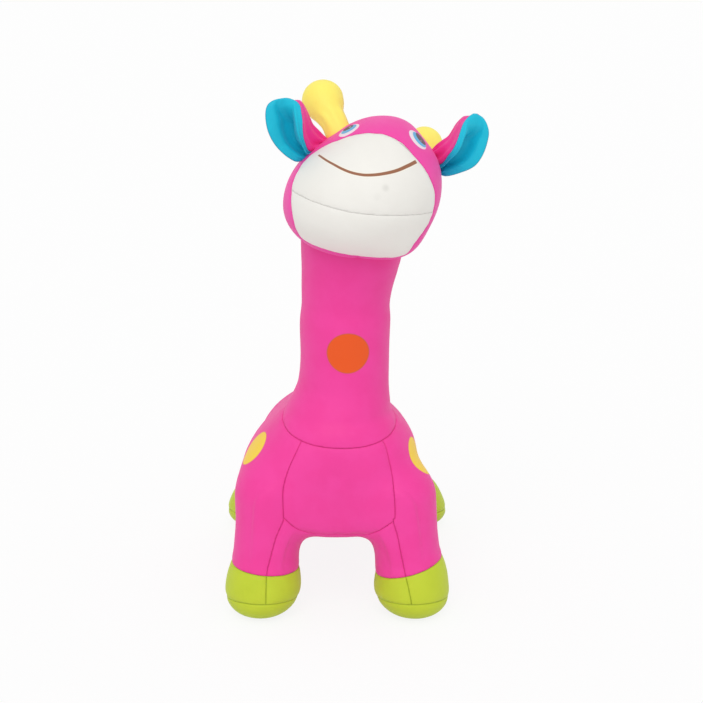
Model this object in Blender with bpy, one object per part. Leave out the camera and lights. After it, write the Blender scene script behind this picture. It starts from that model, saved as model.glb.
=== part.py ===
import bpy
from math import cos, pi, radians, sin, tan
from mathutils import Euler, Vector

# Plush giraffe, standing, facing -Y. Every stuffed form is a lofted surface. Its fabric panels are
# thin shells between two offsets of that surface, and its filling is the solid inside them.

# Fabric and clearances
SKIN_THICKNESS = 0.0012
SEAM_GAP = 0.0003
SOCKET_GAP = 0.0008
SOLE_CUT = 0.0005
OVERRUN = 0.01

# Whole toy: moves the middle of its footprint to the origin
STAND_SHIFT_X = -0.0120
STAND_SHIFT_Y = -0.0030

# Torso, lofted from chest to rump
TORSO_LENGTH = 0.223
TORSO_CHEST_Y = -0.098
TORSO_HALF_WIDTH = 0.066
TORSO_HALF_HEIGHT = 0.052
TORSO_HEIGHT = 0.112
TORSO_POWER = 2.3
# length, width, height and rise of the centre, as shares of the four sizes above
TORSO_SHARES = (
    (0.000, 0.00, 0.00, 0.945),
    (0.005, 0.26, 0.35, 0.945),
    (0.020, 0.56, 0.72, 0.950),
    (0.063, 0.80, 0.89, 0.965),
    (0.126, 0.94, 0.97, 0.985),
    (0.215, 1.00, 1.00, 1.000),
    (0.350, 0.97, 0.96, 0.990),
    (0.530, 0.88, 0.86, 0.960),
    (0.710, 0.81, 0.79, 0.920),
    (0.840, 0.74, 0.73, 0.900),
    (0.930, 0.58, 0.58, 0.890),
    (0.982, 0.32, 0.33, 0.885),
    (1.000, 0.00, 0.00, 0.885),
)
TORSO_SPOKES = 24

# Panels cut from the torso's skin, measured from its middle height
CHEST_TOP_HALF_WIDTH = 0.031
CHEST_BOTTOM_HALF_WIDTH = 0.041
CHEST_CENTRE_X = 0.002
CHEST_DEPTH = TORSO_LENGTH * 0.119
CHEST_RISE = 0.040
CHEST_DROP = 0.042
BELLY_HALF_WIDTH = 0.026
BELLY_DROP = 0.034

# Neck, lofted upward from a base sunk into the torso's top, leaning a little to the toy's left
NECK_SINK = 0.036
NECK_BASE_HEIGHT = TORSO_HEIGHT + TORSO_HALF_HEIGHT - NECK_SINK
NECK_LENGTH = 0.164
NECK_TOP_HEIGHT = NECK_BASE_HEIGHT + NECK_LENGTH
NECK_RADIUS = 0.034
NECK_INSET = 0.050
NECK_Y = TORSO_CHEST_Y + NECK_INSET
NECK_LEAN = 0.011
# height, radius and lean, as shares
NECK_SHARES = (
    (0.000, 1.24, 0.00),
    (0.090, 1.26, 0.00),
    (0.150, 1.20, 0.02),
    (0.195, 1.11, 0.08),
    (0.250, 1.03, 0.14),
    (0.330, 0.99, 0.26),
    (0.500, 0.985, 0.44),
    (0.690, 0.98, 0.60),
    (0.870, 1.06, 0.83),
    (1.000, 1.11, 1.00),
)
NECK_SPOKES = 20
NECK_BALL_CLEARANCE = 0.0035
NECK_BALL_RADIUS = NECK_RADIUS - NECK_BALL_CLEARANCE
NECK_BEND_RISE = 0.037
NECK_BEND_HEIGHT = NECK_BASE_HEIGHT + NECK_BEND_RISE
HEAD_NOD_DROP = 0.007
HEAD_NOD_HEIGHT = NECK_TOP_HEIGHT - HEAD_NOD_DROP
HEAD_NOD_DEGREES = 15
HEAD_NOD_LEAN_SHARE = 0.9
NECK_MIDDLE_SHARES = (0.33, 0.66)
NECK_HOLE_ROWS = 6

# Head: an egg round the axis of the face, leaning with its crown to the toy's left
HEAD_FROM_NECK = Vector((0.008, -0.014, 0.036))
HEAD_CENTRE = Vector((NECK_LEAN, NECK_Y, NECK_TOP_HEIGHT)) + HEAD_FROM_NECK
HEAD_HALF_WIDTH = 0.057
HEAD_HALF_LENGTH = 0.064
HEAD_HALF_HEIGHT = 0.052
HEAD_HALVES = Vector((HEAD_HALF_WIDTH, HEAD_HALF_LENGTH, HEAD_HALF_HEIGHT))
HEAD_LEAN_SHARE = 0.16
FACE_ELEVATION_DEGREES = 2
FACE_ANGLE_DEGREES = 60
HEAD_SPOKES = 24
HEAD_STEP_DEGREES = 15
CHIN_SEAM_DROP = 0.008
CHIN_SEAM_HEIGHT = HEAD_CENTRE.z - CHIN_SEAM_DROP
CHIN_SEAM_TILT_DEGREES = 7

# Ears: a cupped leaf, pink behind and cyan inside. Root shares and ball shares are places from the
# head's centre, as shares of its half sizes.
EAR_LENGTH = 0.047
EAR_HALF_WIDTH = 0.022
EAR_CUP_SHARE = 0.55
EAR_CURL_SHARE = 0.18
EAR_LINING_MARGIN_SHARE = 0.05
EAR_ROOT_SHARE = 0.13
EAR_TIP_SHARE = 0.97
EAR_FULLNESS_SHARE = 0.75
EAR_SEAT = 0.0009
EAR_LINING_GAP = 0.0006
EAR_COLUMNS = 8
EAR_ROWS = 8
EAR_RIGHT_ROOT_SHARES = Vector((-0.5965, -0.0625, 0.5962))
EAR_RIGHT_WAY = Vector((-0.70, 0.12, 0.66))
EAR_RIGHT_FACING = Vector((-0.25, -0.95, 0.10))
EAR_LEFT_ROOT_SHARES = Vector((0.9737, 0.1094, 0.3846))
EAR_LEFT_WAY = Vector((0.72, 0.20, 0.62))
EAR_LEFT_FACING = Vector((0.55, -0.80, -0.20))

# Horns: a stalk with a bulb at its end, on a ball sunk into the head
HORN_BALL_RADIUS = 0.0077
HORN_BULB_RADIUS = 0.0145
HORN_LENGTH = 0.050
HORN_SPOKES = 12
HORN_RIGHT_BALL_SHARES = Vector((-0.3439, 0.2734, 0.8769))
HORN_RIGHT_WAY = Vector((-0.40, 0.68, 0.62))
HORN_LEFT_BALL_SHARES = Vector((0.6211, 0.7422, 0.4519))
HORN_LEFT_WAY = Vector((0.457, 0.881, -0.119))
# length and radius, as shares of the horn's length and of its bulb's radius
HORN_SHARES = (
    (0.28, 0.57),
    (0.42, 0.76),
    (0.56, 0.96),
    (0.70, 1.00),
    (0.83, 0.86),
    (0.94, 0.52),
    (0.985, 0.24),
    (1.000, 0.00),
)

# Rings of a half ball, from its pole to its rim, the facets of a socket, and the roundness of the
# space that a swing sweeps
BALL_DEGREES = (0, 30, 60, 90)
SOCKET_ROWS = 12
SOCKET_SPOKES = 24
SWEEP_POWER = 2.5

# Legs, lofted from the ball at the hip down to the sole
LEG_SPOKES = 16
FRONT_HIP_X = 0.0505
FRONT_HIP_INSET = 0.028
FRONT_HIP_DROP = 0.020
FRONT_HIP = Vector((FRONT_HIP_X, TORSO_CHEST_Y + FRONT_HIP_INSET, TORSO_HEIGHT - FRONT_HIP_DROP))
FRONT_FOOT = Vector((0.0065, -0.006, 0.0)) + FRONT_HIP * Vector((1.0, 1.0, 0.0))
REAR_HIP_X = 0.040
REAR_HIP_INSET = 0.041
REAR_HIP_DROP = 0.026
TORSO_RUMP_Y = TORSO_CHEST_Y + TORSO_LENGTH
REAR_HIP = Vector((REAR_HIP_X, TORSO_RUMP_Y - REAR_HIP_INSET, TORSO_HEIGHT - REAR_HIP_DROP))
REAR_FOOT = Vector((0.026, 0.023, 0.0)) + REAR_HIP * Vector((1.0, 1.0, 0.0))
FRONT_LEG_RADIUS = 0.0252
REAR_LEG_RADIUS = 0.0235
HOOF_RADIUS = 0.0288
HEM_HEIGHT = 0.0405
SOLE_SEAM_HEIGHT = 0.012
LEG_SWING_DEGREES = 8
# height above the lower seam, as a share of the stretch, and radius as a share of the leg's or hoof's
LEG_SHARES = ((0.68, 0.99), (0.36, 0.98), (0.12, 1.00))
HEM_SHARE = 0.96
HOOF_SHARES = ((0.66, 0.985), (0.32, 1.00), (0.00, 0.92))
SOLE_SHARES = ((0.55, 0.83), (0.20, 0.62), (0.03, 0.34))
HEM_ROW = len(BALL_DEGREES) + len(LEG_SHARES)
SOLE_ROW = HEM_ROW + len(HOOF_SHARES)

PINK = (0.80, 0.065, 0.35, 1.0)
WHITE = (0.85, 0.84, 0.81, 1.0)
CYAN = (0.015, 0.49, 0.68, 1.0)
YELLOW = (0.95, 0.80, 0.13, 1.0)
GREEN = (0.50, 0.62, 0.04, 1.0)
BEAD = (0.80, 0.80, 0.78, 1.0)

# The blocks that cut panels apart reach past the whole toy.
REGION_SIZE = TORSO_LENGTH + HEAD_HALF_LENGTH
GROUND_LOW = Vector((-REGION_SIZE, -REGION_SIZE, -OVERRUN))
GROUND_HIGH = Vector((REGION_SIZE, REGION_SIZE, 0.0))
AXIS_X = Vector((1.0, 0.0, 0.0))
AXIS_Y = Vector((0.0, 1.0, 0.0))
AXIS_Z = Vector((0.0, 0.0, 1.0))
STEP_SHARE = 0.004
POLE_STEP_SHARE = 0.02
SMALLEST_RADIUS = 0.00001


def clear_scene():
    for item in list(bpy.data.objects):
        bpy.data.objects.remove(item, do_unlink=True)


def material(name, colour):
    made = bpy.data.materials.new(name)
    made.use_nodes = True
    shader = made.node_tree.nodes["Principled BSDF"]
    shader.inputs["Base Color"].default_value = colour
    shader.inputs["Roughness"].default_value = 0.6
    shader.inputs["Metallic"].default_value = 0.0
    return made


# A form is a closed or open tube of rings. ring(u) gives a ring's centre and its two radii, u runs
# from 0 to 1 along the tube and v from 0 to 1 round it.
class Form:
    wraps = True

    def __init__(self, ring, across, upward, power=2.0, lean=None):
        self.ring = ring
        self.across = across
        self.upward = upward
        self.power = power
        self.lean = lean
        start, finish = ring(0.3)[0], ring(0.7)[0]
        turn = (finish - start).dot(across.cross(upward))
        self.sign = 1.0 if turn > 0 else -1.0

    def point(self, u, v):
        centre, half_across, half_upward = self.ring(u)
        angle = 2 * pi * v
        flat, tall = cos(angle), sin(angle)
        scale = (abs(flat) ** self.power + abs(tall) ** self.power) ** (-1 / self.power)
        place = centre + self.across * half_across * flat * scale + self.upward * half_upward * tall * scale
        return self.lean(place) if self.lean else place

    def pole_normal(self, u):
        inward = POLE_STEP_SHARE if u < 0.5 else -POLE_STEP_SHARE
        middle = (self.point(u + inward, 0.0) + self.point(u + inward, 0.5)) / 2
        return (self.point(u, 0.0) - middle).normalized()

    def is_pole(self, u):
        return max(self.ring(u)[1:]) < SMALLEST_RADIUS

    def normal(self, u, v):
        if self.is_pole(u):
            return self.pole_normal(u)
        low, high = max(u - STEP_SHARE, 0.0), min(u + STEP_SHARE, 1.0)
        along = self.point(high, v) - self.point(low, v)
        around = self.point(u, v + STEP_SHARE) - self.point(u, v - STEP_SHARE)
        return (around.cross(along) * self.sign).normalized()

    def offset(self, u, v, distance):
        return self.point(u, v) + self.normal(u, v) * distance


# Smooth values at u through evenly spaced stations
def spline(stations, u):
    spans = len(stations) - 3
    place = min(max(u, 0.0), 1.0) * spans
    index = min(int(place), spans - 1)
    t = place - index
    before, start, finish, after = stations[index:index + 4]
    return [
        0.5 * (2 * b + (c - a) * t + (2 * a - 5 * b + 4 * c - d) * t ** 2 + (3 * b - a - 3 * c + d) * t ** 3)
        for a, b, c, d in zip(before, start, finish, after)
    ]


# Adds a station before the first and after the last; a closed end is a pole of radius 0.
def with_ends(stations, closed):
    result = list(stations)
    if closed:
        first, last = stations[1], stations[-2]
        result.insert(0, (first[0], first[1], first[2], -first[3], -first[4]))
        result.append((last[0], last[1], last[2], -last[3], -last[4]))
    else:
        result.insert(0, tuple(2 * a - b for a, b in zip(stations[0], stations[1])))
        result.append(tuple(2 * a - b for a, b in zip(stations[-1], stations[-2])))
    return result


# A form through stations (x, y, z, half across, half upward)
def lofted_form(stations, across, upward, closed=True, power=2.0):
    padded = with_ends(stations, closed)

    def ring(u):
        x, y, z, half_across, half_upward = spline(padded, u)
        return Vector((x, y, z)), half_across, half_upward

    return Form(ring, across, upward, power)


def ball_form(centre, radius):
    def ring(u):
        angle = pi * u
        return centre - AXIS_Z * radius * cos(angle), radius * sin(angle), radius * sin(angle)

    return Form(ring, AXIS_X, AXIS_Y)


def even(count, low=0.0, high=1.0):
    return [low + (high - low) * i / count for i in range(count + 1)]


# One closed body: the form between two offsets, or the whole form inside one offset. Its faces are
# triangles, apart from flat ends, so that every face is flat when it is cut.
def grid_mesh(name, form, rows, spokes, layers):
    points = []
    faces = []
    loops = len(spokes) - 1
    wraps = form.wraps and len(spokes) > 2 and spokes[-1] - spokes[0] == 1.0
    columns = loops if wraps else loops + 1

    def add_layer(distance):
        layer = []
        for u in rows:
            if form.is_pole(u):
                points.append(form.offset(u, 0.0, distance))
                layer.append([len(points) - 1] * columns)
                continue
            first = len(points)
            points.extend(form.offset(u, v, distance) for v in spokes[:columns])
            layer.append(list(range(first, first + columns)))
        return layer

    def add_face(corners):
        kept = [c for i, c in enumerate(corners) if c != corners[i - 1]]
        kept = kept if form.sign > 0 else kept[::-1]
        if len(kept) > 4:
            faces.append(kept)
        elif len(kept) > 2:
            faces.extend((kept[0], kept[i], kept[i + 1]) for i in range(1, len(kept) - 1))

    def add_surface(layer, flip):
        for row, following in zip(layer, layer[1:]):
            for j in range(loops):
                k = (j + 1) % columns
                corners = [row[j], row[k], following[k], following[j]]
                add_face(corners[::-1] if flip else corners)

    outer = add_layer(layers[0])
    add_surface(outer, False)
    if len(layers) == 1:
        if not form.is_pole(rows[0]):
            add_face(outer[0][::-1])
        if not form.is_pole(rows[-1]):
            add_face(outer[-1])
    else:
        inner = add_layer(layers[1])
        add_surface(inner, True)
        for end, flip in ((0, False), (-1, True)):
            if form.is_pole(rows[end]):
                continue
            for j in range(loops):
                k = (j + 1) % columns
                corners = [inner[end][j], inner[end][k], outer[end][k], outer[end][j]]
                add_face(corners[::-1] if flip else corners)
        if not wraps:
            for side, flip in ((0, False), (-1, True)):
                for i in range(len(rows) - 1):
                    corners = [inner[i][side], inner[i + 1][side], outer[i + 1][side], outer[i][side]]
                    add_face(corners if flip else corners[::-1])
    mesh = bpy.data.meshes.new(name)
    mesh.from_pydata(points, [], faces)
    mesh.update()
    return mesh


# A body is an empty on its joint; every mesh is drawn in the toy's own frame and hung from it.
def add_body(name, place, parent=None):
    body = bpy.data.objects.new(name, None)
    bpy.context.scene.collection.objects.link(body)
    if parent is not None:
        body.parent = parent
        body.location = place - place_of(parent)
    else:
        body.location = place
    body["place"] = place if parent is not None else Vector((0.0, 0.0, 0.0))
    return body


def place_of(body):
    return Vector(body["place"])


def add_object(name, mesh, body, paint=None):
    item = bpy.data.objects.new(name, mesh)
    bpy.context.scene.collection.objects.link(item)
    item.parent = body
    item.location = -place_of(body)
    if paint is not None:
        mesh.materials.append(paint)
        mesh.shade_smooth()
        mesh.set_sharp_from_angle(angle=radians(50))
    else:
        item.hide_render = True
        item.display_type = "WIRE"
    return item


def boolean(item, cutter, operation="DIFFERENCE"):
    cut = item.modifiers.new(cutter.name, "BOOLEAN")
    cut.object = cutter
    cut.operation = operation
    cut.solver = "EXACT"


def block_mesh(name, low, high):
    corners = [(x, y, z) for x in (low[0], high[0]) for y in (low[1], high[1]) for z in (low[2], high[2])]
    faces = [(0, 1, 3, 2), (4, 6, 7, 5), (0, 4, 5, 1), (2, 3, 7, 6), (0, 2, 6, 4), (1, 5, 7, 3)]
    mesh = bpy.data.meshes.new(name)
    mesh.from_pydata(corners, [], faces)
    return mesh


# The chest panel's region: narrower at its top, open to the front
def wedge_mesh(name, margin):
    top = CHEST_TOP_HALF_WIDTH + margin
    bottom = CHEST_BOTTOM_HALF_WIDTH + margin
    low, high = TORSO_HEIGHT - CHEST_DROP - margin, TORSO_HEIGHT + CHEST_RISE + OVERRUN
    front, back = TORSO_CHEST_Y - OVERRUN, TORSO_CHEST_Y + CHEST_DEPTH + margin
    outline = [
        (CHEST_CENTRE_X - bottom, low),
        (CHEST_CENTRE_X + bottom, low),
        (CHEST_CENTRE_X + top, high),
        (CHEST_CENTRE_X - top, high),
    ]
    corners = [(x, front, z) for x, z in outline] + [(x, back, z) for x, z in outline]
    faces = [(0, 1, 2, 3), (7, 6, 5, 4), (0, 4, 5, 1), (1, 5, 6, 2), (2, 6, 7, 3), (3, 7, 4, 0)]
    mesh = bpy.data.meshes.new(name)
    mesh.from_pydata(corners, [], faces)
    return mesh


def torso_form():
    stations = [
        (
            0.0,
            TORSO_CHEST_Y + TORSO_LENGTH * length,
            TORSO_HEIGHT * rise,
            TORSO_HALF_WIDTH * width,
            TORSO_HALF_HEIGHT * height,
        )
        for length, width, height, rise in TORSO_SHARES
    ]
    return lofted_form(stations, AXIS_X, AXIS_Z, power=TORSO_POWER)


def neck_form():
    stations = [
        (
            NECK_LEAN * lean,
            NECK_Y,
            NECK_BASE_HEIGHT + NECK_LENGTH * height,
            NECK_RADIUS * radius,
            NECK_RADIUS * radius,
        )
        for height, radius, lean in NECK_SHARES
    ]
    return lofted_form(stations, AXIS_X, AXIS_Y, closed=False)


def head_form():
    elevation = radians(FACE_ELEVATION_DEGREES)
    facing = Vector((0.0, -cos(elevation), sin(elevation)))
    upward = Vector((0.0, sin(elevation), cos(elevation)))

    def ring(u):
        angle = pi * u
        centre = HEAD_CENTRE + facing * HEAD_HALF_LENGTH * cos(angle)
        return centre, HEAD_HALF_WIDTH * sin(angle), HEAD_HALF_HEIGHT * sin(angle)

    def lean(place):
        return place + AXIS_X * HEAD_LEAN_SHARE * (place.z - HEAD_CENTRE.z)

    return Form(ring, AXIS_X, upward, lean=lean)


# The leg's rings: half a ball at the hip, the leg, the hem's pinch, the hoof and its sole
def leg_stations(hip, foot, radius, side):
    rows = [(hip.z + radius * cos(radians(a)), radius * sin(radians(a))) for a in BALL_DEGREES]
    leg_height = hip.z - HEM_HEIGHT
    hoof_height = HEM_HEIGHT - SOLE_SEAM_HEIGHT
    rows += [(HEM_HEIGHT + leg_height * height, radius * share) for height, share in LEG_SHARES]
    rows.append((HEM_HEIGHT, (radius + HOOF_RADIUS) / 2 * HEM_SHARE))
    rows += [(SOLE_SEAM_HEIGHT + hoof_height * height, HOOF_RADIUS * share) for height, share in HOOF_SHARES]
    rows += [(SOLE_SEAM_HEIGHT * height, HOOF_RADIUS * share) for height, share in SOLE_SHARES]
    rows.append((-SOLE_CUT, 0.0))
    stations = []
    for height, half in rows:
        share = min(max((hip.z - height) / (hip.z - SOLE_SEAM_HEIGHT), 0.0), 1.0)
        place = hip.lerp(foot, share)
        stations.append((side * place.x, place.y, height, half, half))
    return stations


FILLING_OFFSET = -(SKIN_THICKNESS + SEAM_GAP)


# A horn runs from its ball's far pole to its tip.
def horn_form(centre, direction):
    start = centre - direction * HORN_BALL_RADIUS
    rows = [
        (HORN_BALL_RADIUS * (1 - cos(radians(a))), HORN_BALL_RADIUS * sin(radians(a)))
        for a in BALL_DEGREES
    ]
    rows += [(HORN_LENGTH * length, HORN_BULB_RADIUS * radius) for length, radius in HORN_SHARES]
    across = direction.orthogonal().normalized()
    stations = [(*(start + direction * length), radius, radius) for length, radius in rows]
    return lofted_form(stations, across, direction.cross(across).normalized())


# The neck's filling is a tube with a ball at each end, one in the torso and one in the head.
def neck_filling_stations():
    low = Vector((0.0, NECK_Y, NECK_BEND_HEIGHT))
    high = Vector((NECK_LEAN * HEAD_NOD_LEAN_SHARE, NECK_Y, HEAD_NOD_HEIGHT))
    low_ball = [(low, -cos(radians(a)), sin(radians(a))) for a in BALL_DEGREES]
    high_ball = [(high, cos(radians(a)), sin(radians(a))) for a in reversed(BALL_DEGREES)]
    middle = [(low.lerp(high, share), 0.0, 1.0) for share in NECK_MIDDLE_SHARES]
    return [
        (*(centre + AXIS_Z * NECK_BALL_RADIUS * rise), NECK_BALL_RADIUS * half, NECK_BALL_RADIUS * half)
        for centre, rise, half in low_ball + middle + high_ball
    ]


# An ear's sheet: u runs from its root to its tip and v across it.
class LeafForm:
    wraps = False

    def __init__(self, root, length, facing):
        self.root = root
        self.length = length.normalized()
        self.across = self.length.cross(facing).normalized()
        self.facing = self.across.cross(self.length).normalized()
        self.sign = 1.0
        self.sign = 1.0 if self.normal(0.5, 0.5).dot(self.facing) > 0 else -1.0

    def point(self, u, v):
        side = 2 * v - 1
        swell = sin(pi * (EAR_ROOT_SHARE + (1 - EAR_ROOT_SHARE) * u)) ** EAR_FULLNESS_SHARE
        width = EAR_HALF_WIDTH * swell
        cup = EAR_CUP_SHARE * width * side ** 2 * min(2 * u, 1.0)
        curl = EAR_CURL_SHARE * EAR_LENGTH * u ** 2
        flat = self.root + self.length * EAR_LENGTH * u + self.across * width * side
        return flat + self.facing * (cup + curl)

    def is_pole(self, u):
        return False

    def normal(self, u, v):
        along = self.point(u + STEP_SHARE, v) - self.point(max(u - STEP_SHARE, 0.0), v)
        around = self.point(u, v + STEP_SHARE) - self.point(u, v - STEP_SHARE)
        return (around.cross(along) * self.sign).normalized()

    def offset(self, u, v, distance):
        return self.point(u, v) + self.normal(u, v) * distance


# The space that a tube sweeps below the crosswise axis that it swings about: its rings grow along Y
# with their depth under the axis. Above it, a ball turns in its socket.
def swept_form(stations, height, degrees):
    grow, tilt = tan(radians(degrees)), cos(radians(degrees))
    swept = [
        (x, y, z, half_across, half_upward / tilt + (height - z) * grow)
        for x, y, z, half_across, half_upward in stations
    ]
    return lofted_form(swept, AXIS_X, AXIS_Y, closed=False, power=SWEEP_POWER)


def solid(name, form, rows, spokes, offset=0.0):
    return grid_mesh(name, form, rows, spokes, (offset,))


def skin(name, form, rows, spokes):
    return grid_mesh(name, form, rows, spokes, (0.0, -SKIN_THICKNESS))


def socket_mesh(name, centre, ball_radius):
    form = ball_form(centre, ball_radius + SOCKET_GAP)
    return solid(name, form, even(SOCKET_ROWS), even(SOCKET_SPOKES))


# One leg: a filling, two halves of skin, two halves of hoof and a sole. It returns the cutters for
# the torso: one for its panels, and for its filling the socket and the space that the leg sweeps.
def add_leg(root, name, hip, foot, radius, side, paints, torso_cutter):
    place = Vector((side * hip.x, hip.y, hip.z))
    body = add_body(name + "_swing", place, root)
    stations = leg_stations(hip, foot, radius, side)
    form = lofted_form(stations, AXIS_X, AXIS_Y)
    spans = len(stations) - 1
    rows = even(spans)
    spokes = even(LEG_SPOKES)
    filling = solid(name, form, rows, spokes, FILLING_OFFSET)
    add_object(name + "_filling", filling, body, paints["bead"])
    row_gap = SEAM_GAP / 2 / ((stations[HEM_ROW][2] - stations[HEM_ROW + 1][2]) * spans)
    side_gap = SEAM_GAP / 2 / (2 * pi * radius)
    leg_rows = rows[1:HEM_ROW] + [rows[HEM_ROW] - row_gap]
    hoof_rows = [rows[HEM_ROW] + row_gap] + rows[HEM_ROW + 1:SOLE_ROW] + [rows[SOLE_ROW] - row_gap]
    sole_rows = [rows[SOLE_ROW] + row_gap] + rows[SOLE_ROW + 1:]
    for half, start in (("outer", -0.25 * side), ("inner", 0.25 * side)):
        start = start % 1.0
        part = even(LEG_SPOKES // 2, start + side_gap, start + 0.5 - side_gap)
        item = add_object(f"{name}_{half}", skin(name, form, leg_rows, part), body, paints["pink"])
        boolean(item, torso_cutter)
        add_object(f"{name}_hoof_{half}", skin(name, form, hoof_rows, part), body, paints["green"])
    sole = add_object(name + "_sole", skin(name, form, sole_rows, spokes), body, paints["green"])
    boolean(sole, add_object(name + "_ground", block_mesh("ground", GROUND_LOW, GROUND_HIGH), root))
    hole = add_object(name + "_hole", solid(name, form, rows, spokes, -SKIN_THICKNESS), body)
    socket = socket_mesh(name, place, radius + FILLING_OFFSET)
    below = stations[len(BALL_DEGREES) - 2:SOLE_ROW]
    swing = swept_form(below, place.z, LEG_SWING_DEGREES)
    swept = solid(name, swing, even(len(below) - 1), spokes, FILLING_OFFSET + SOCKET_GAP)
    return hole, [add_object(name + "_socket", socket, root), add_object(name + "_swept", swept, root)]


# The torso's filling, with sockets for the neck and the legs, and its four panels.
def add_torso(root, paints, form, holes, sweeps):
    rows = even(len(TORSO_SHARES) - 1)
    spokes = even(TORSO_SPOKES)
    filling = solid("torso", form, rows, spokes, FILLING_OFFSET)
    filling = add_object("torso_filling", filling, root, paints["bead"])
    socket = socket_mesh("neck", Vector((0.0, NECK_Y, NECK_BEND_HEIGHT)), NECK_BALL_RADIUS)
    for cutter in [add_object("neck_socket", socket, root)] + sweeps:
        boolean(filling, cutter)

    chest = add_object("chest_region", wedge_mesh("chest", 0.0), root)
    wide_chest = add_object("chest_region_wide", wedge_mesh("chest", SEAM_GAP), root)
    low = Vector((-BELLY_HALF_WIDTH, -REGION_SIZE, 0.0))
    high = Vector((BELLY_HALF_WIDTH, REGION_SIZE, TORSO_HEIGHT - BELLY_DROP))
    margin = Vector((SEAM_GAP, SEAM_GAP, SEAM_GAP))
    belly = add_object("belly_region", block_mesh("belly", low, high), root)
    wide_belly = add_object("belly_region_wide", block_mesh("belly", low - margin, high + margin), root)
    flanks = {}
    for end, side in (("left", 1), ("right", -1)):
        near, far = side * SEAM_GAP / 2, side * REGION_SIZE
        low = Vector((min(near, far), -REGION_SIZE, -REGION_SIZE))
        high = Vector((max(near, far), REGION_SIZE, REGION_SIZE))
        flanks[end] = add_object(f"side_{end}_region", block_mesh(end, low, high), root)
    for name, region, removed in (
        ("chest_panel", chest, []),
        ("belly_panel", belly, [wide_chest]),
        ("side_panel_left", flanks["left"], [wide_chest, wide_belly]),
        ("side_panel_right", flanks["right"], [wide_chest, wide_belly]),
    ):
        panel = add_object(name, skin(name, form, rows, spokes), root, paints["pink"])
        for cutter in holes + removed:
            boolean(panel, cutter)
        boolean(panel, region, "INTERSECT")


def add_neck(body, paints, form, torso_cutter, head_cutter):
    rows = even(len(NECK_SHARES) - 1)
    spokes = even(NECK_SPOKES)
    filling_rows = even(2 * len(BALL_DEGREES) + 1)
    stations = neck_filling_stations()
    filling = lofted_form(stations, AXIS_X, AXIS_Y)
    add_object("neck_filling", solid("neck", filling, filling_rows, spokes), body, paints["bead"])
    tube = add_object("neck_skin", skin("neck", form, rows, spokes), body, paints["pink"])
    boolean(tube, torso_cutter)
    boolean(tube, head_cutter)
    nod = Vector((NECK_LEAN * HEAD_NOD_LEAN_SHARE, NECK_Y, HEAD_NOD_HEIGHT))
    socket = add_object("head_socket", socket_mesh("neck", nod, NECK_BALL_RADIUS), body)
    below = stations[:-len(BALL_DEGREES) + 2]
    swing = swept_form(below, HEAD_NOD_HEIGHT, HEAD_NOD_DEGREES)
    swept = solid("neck", swing, even(len(below) - 1), spokes, SOCKET_GAP)
    return [socket, add_object("neck_swept", swept, body)]


def add_horn(head_body, name, shares, direction, paints):
    centre = HEAD_CENTRE + HEAD_HALVES * shares
    body = add_body(name + "_bend", centre, head_body)
    form = horn_form(centre, direction)
    rows = even(len(BALL_DEGREES) + len(HORN_SHARES) - 1)
    spokes = even(HORN_SPOKES)
    add_object(name + "_skin", skin(name, form, rows[2:], spokes), body, paints["yellow"])
    filling = solid(name, form, rows, spokes, FILLING_OFFSET)
    add_object(name + "_filling", filling, body, paints["bead"])
    return add_object(name + "_socket", socket_mesh(name, centre, HORN_BALL_RADIUS), head_body)


def add_head(body, paints, form, cutters):
    spokes = even(HEAD_SPOKES)
    rows = even(180 // HEAD_STEP_DEGREES)
    seam = FACE_ANGLE_DEGREES // HEAD_STEP_DEGREES
    gap = SEAM_GAP / 2 / (pi * HEAD_HALF_HEIGHT)
    face_rows = rows[:seam] + [rows[seam] - gap]
    skull_rows = [rows[seam] + gap] + rows[seam + 1:]
    skull = add_object("skull_skin", skin("skull", form, skull_rows, spokes), body, paints["pink"])
    filling = solid("head", form, rows, spokes, FILLING_OFFSET)
    filling = add_object("head_filling", filling, body, paints["bead"])
    for cutter in cutters:
        boolean(skull, cutter)
        boolean(filling, cutter)
    seam_place = Vector((HEAD_CENTRE.x, HEAD_CENTRE.y, CHIN_SEAM_HEIGHT))
    tilt = add_body("chin_seam", seam_place, body)
    tilt.rotation_euler = Euler((0.0, radians(CHIN_SEAM_TILT_DEGREES), 0.0))
    for name, side in (("muzzle_panel", 1), ("chin_panel", -1)):
        near, far = side * SEAM_GAP / 2, side * REGION_SIZE
        low = seam_place + Vector((-REGION_SIZE, -REGION_SIZE, min(near, far)))
        high = seam_place + Vector((REGION_SIZE, REGION_SIZE, max(near, far)))
        region = add_object(name + "_region", block_mesh(name, low, high), tilt)
        panel = add_object(name, skin(name, form, face_rows, spokes), body, paints["white"])
        boolean(panel, region, "INTERSECT")


def add_ear(head_body, name, shares, length, facing, paints, cutter):
    place = HEAD_CENTRE + HEAD_HALVES * shares
    body = add_body(name + "_flop", place, head_body)
    leaf = LeafForm(place, length, facing)
    margin = EAR_LINING_MARGIN_SHARE
    back_rows = even(EAR_ROWS, 0.0, EAR_TIP_SHARE)
    lining_rows = even(EAR_ROWS, 0.0, EAR_TIP_SHARE - margin)
    lining_columns = even(EAR_COLUMNS, margin, 1 - margin)
    back = grid_mesh(name, leaf, back_rows, even(EAR_COLUMNS), (0.0, -SKIN_THICKNESS))
    lining_layers = (EAR_LINING_GAP + SKIN_THICKNESS, EAR_LINING_GAP)
    lining = grid_mesh(name, leaf, lining_rows, lining_columns, lining_layers)
    boolean(add_object(name + "_back", back, body, paints["pink"]), cutter)
    boolean(add_object(name + "_lining", lining, body, paints["cyan"]), cutter)


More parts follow.
